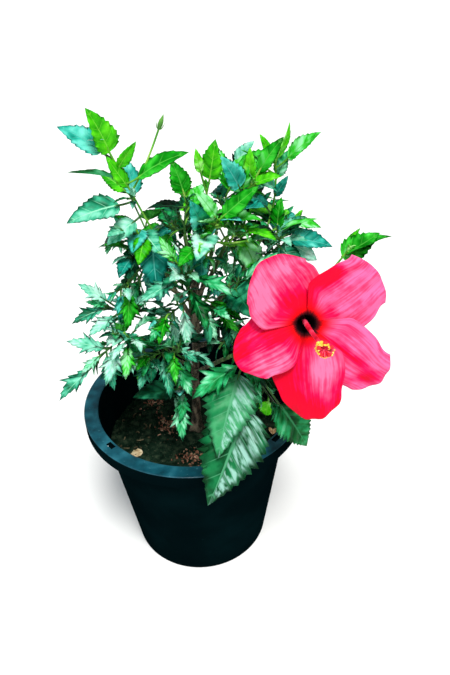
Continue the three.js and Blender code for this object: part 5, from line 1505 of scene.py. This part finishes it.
cup = dict(
    base=6.2, mouth=10.6, flare=13, flareFrom=0.7, depth=24, wall=1.0, teeth=5, tooth=0.3, ribs=15, rib=0.15,
    under=1.5, sides=60, rings=26, footStart=0.25, footSwell=3,
    bracts=7, bractLength=15, bractWidth=1.3, bractSwell=(0.5, 3.05), bractFoot=4, bractTip=11, bractBow=5,
    bractRings=10, bractSides=6,
    stalk=(1.6, 1.9), stalkStart=0.93, stalkBow=(0, 4, -6), stalkRings=24, stalkSides=12,
)


def makeCup():  # the green cup behind the petals, the slim bracts round it and its stalk
    heap = Heap("cupGreen")
    bottom, turns = -bloom["tube"] - cup["under"], turnsOf(cup["sides"])
    outer, rings = list(np.linspace(0, 1, cup["rings"])), []
    for wall, shares in ((0, outer), (-cup["wall"], outer[::-1])):
        for share in shares:
            tooth = 1 - cup["tooth"] * np.abs(np.cos(turns * cup["teeth"] / 2)) * share**4
            swollen = math.sin(math.pi / 2 * min(1, share * cup["footSwell"] + cup["footStart"]))
            flared = max(0, share - cup["flareFrom"]) / (1 - cup["flareFrom"])
            radius = mix(cup["base"], cup["mouth"], share) * swollen
            radius += (cup["flare"] - cup["mouth"]) * flared + wall
            radius = radius + cup["rib"] * np.cos(turns * cup["ribs"]) * share
            height = bottom + cup["depth"] * share * tooth + (cup["wall"] if wall and share == 0 else 0)
            rings.append(np.stack([radius * np.cos(turns), radius * np.sin(turns), height], 1))
    points, faces = skin(np.array(rings))
    heap.add(inBloom(points), faces, "cupGreen")
    for index in range(cup["bracts"]):
        turn = 2 * math.pi * index / cup["bracts"]
        out = vec((math.cos(turn), math.sin(turn), 0))
        foot = vec((0, 0, bottom)) + out * cup["bractFoot"]
        tip = vec((0, 0, bottom + cup["bractLength"])) + out * cup["bractTip"]
        line = onLine(bent(foot, foot + out * cup["bractBow"], tip), cup["bractRings"])
        widths = cup["bractWidth"] / 2 * np.sin(np.linspace(*cup["bractSwell"], cup["bractRings"]))
        heap.add(*skinInBloom(line, widths, cup["bractSides"]), "cupGreen")
    start, end = boughLines["bough_bloom"](cup["stalkStart"]), inBloom([(0, 0, bottom + 1)])[0]
    stalk = bowed(start, end, cup["stalkBow"])
    widths = mix(*cup["stalk"], np.linspace(0, 1, cup["stalkRings"]) ** 3)
    heap.add(*skin(ringsAlong(onLine(stalk, cup["stalkRings"]), widths, cup["stalkSides"])), "cupGreen")
    return heap.mesh("bloom_cup")


bud = dict(
    sunk=0.12, slim=7, span=(0.01, 0.995), fullness=0.8, rings=22, sides=18, bracts=6, bractFoot=0.8,
    bractBow=2, bractOut=2.6, bractLength=0.5, bract=0.4, bractSwell=(0.6, 3.0), bractRings=8, bractSides=5,
)


def makeBud():  # the long closed bud on its own stalk at the top left
    heap = Heap("cupGreen")
    mass = foliage["foliage_top_left"]
    curve, length = shootCurves(mass)[1], mass["shoots"][1]["bud"]
    ahead, tip = headingOn(curve, 1), curve(1)
    share = np.linspace(*bud["span"], bud["rings"])
    line = np.array([tip + ahead * length * (part - bud["sunk"]) for part in share])
    widths = length / bud["slim"] * np.sin(math.pi * share ** bud["fullness"])
    heap.add(*skin(ringsAlong(line, widths, bud["sides"])), "cupGreen")
    for index in range(bud["bracts"]):
        out = around(ahead, (1, 0, 0), index * math.pi * 2 / bud["bracts"])
        foot = tip + out * bud["bractFoot"]
        end = foot + out * bud["bractOut"] + ahead * length * bud["bractLength"]
        bract = onLine(bent(foot, foot + out * bud["bractBow"], end), bud["bractRings"])
        widths = bud["bract"] * np.sin(np.linspace(*bud["bractSwell"], bud["bractRings"]))
        heap.add(*skin(ringsAlong(bract, widths, bud["bractSides"])), "cupGreen")
    return heap.mesh("bud")


addPiece("bloom_cup", makeCup(), "green_stem", "flower_stalk")
addPiece("bud", makeBud(), "green_stem")
report("bloom ready")

# The camera, light and floor

# The photo's view, solved from the pot's rim, skirt and base: angles in degrees, its frame in pixels
view = dict(distance=695, tilt=39.4, rimHeight=204, yaw=4.0, pitch=34.0, roll=-1.78, pixels=601, frame=675)
stage = dict(target=(0, 0, 0.3), sky=(0.92, 0.97, 1, 1), skyStrength=0.27, floorReach=30.0)


def addCamera():
    yaw, pitch, roll, tilt = (math.radians(view[key]) for key in ("yaw", "pitch", "roll", "tilt"))
    spot = view["distance"] * vec((0, -math.cos(tilt), math.sin(tilt))) + up * view["rimHeight"]
    ahead = vec((math.sin(yaw) * math.cos(pitch), math.cos(yaw) * math.cos(pitch), -math.sin(pitch)))
    right = vec((math.cos(yaw), -math.sin(yaw), 0))
    over = np.cross(right, ahead)
    across = math.cos(roll) * right + math.sin(roll) * over
    above = -math.sin(roll) * right + math.cos(roll) * over
    lens = bpy.data.cameras.new("camera")
    lens.lens = view["pixels"] / view["frame"] * lens.sensor_width
    camera = addObject("camera", lens)
    turn = Matrix(np.stack([across, above, -ahead], 1).tolist()).to_4x4()
    camera.matrix_world = Matrix.Translation(Vector(spot * mm)) @ turn
    bpy.context.scene.camera = camera


def addLamp(name, kind, place, energy, colour, **settings):
    light = bpy.data.lights.new(name, kind)
    light.energy, light.color = energy, colour
    for setting, value in settings.items():
        setattr(light, setting, value)
    lamp = addObject(name, light)
    lamp.location = place
    lamp.rotation_euler = (Vector(stage["target"]) - Vector(place)).to_track_quat("-Z", "Y").to_euler()


def addStage():
    addLamp("keyLight", "SUN", (0.25, -1.0, 2.4), 4.1, (1, 0.99, 0.96), angle=0.4)
    addLamp("sideLight", "AREA", (-1.2, -0.6, 1.3), 6, (0.85, 0.95, 1), shape="DISK", size=1.4)
    world = bpy.data.worlds.new("paleSky")
    bpy.context.scene.world = world
    world.use_nodes = True
    sky = {"Color": stage["sky"], "Strength": stage["skyStrength"]}
    setInputs(world.node_tree, world.node_tree.nodes["Background"], sky)
    bpy.context.scene.view_settings.view_transform = "Standard"
    addFinish("paleFloor", [(0.9, 0.91, 0.91), (0.94, 0.94, 0.94)], 3, (0.8, 0.9), bump=0.1, grain=90)
    reach = stage["floorReach"]
    mesh = bpy.data.meshes.new("floor")
    mesh.from_pydata([(-reach, -reach, 0), (reach, -reach, 0), (reach, reach, 0), (-reach, reach, 0)], [],
                     [(0, 1, 2, 3)])
    mesh.materials.append(bpy.data.materials["paleFloor"])
    addObject("floor", mesh)


addCamera()
addStage()
report("camera, light and floor ready")
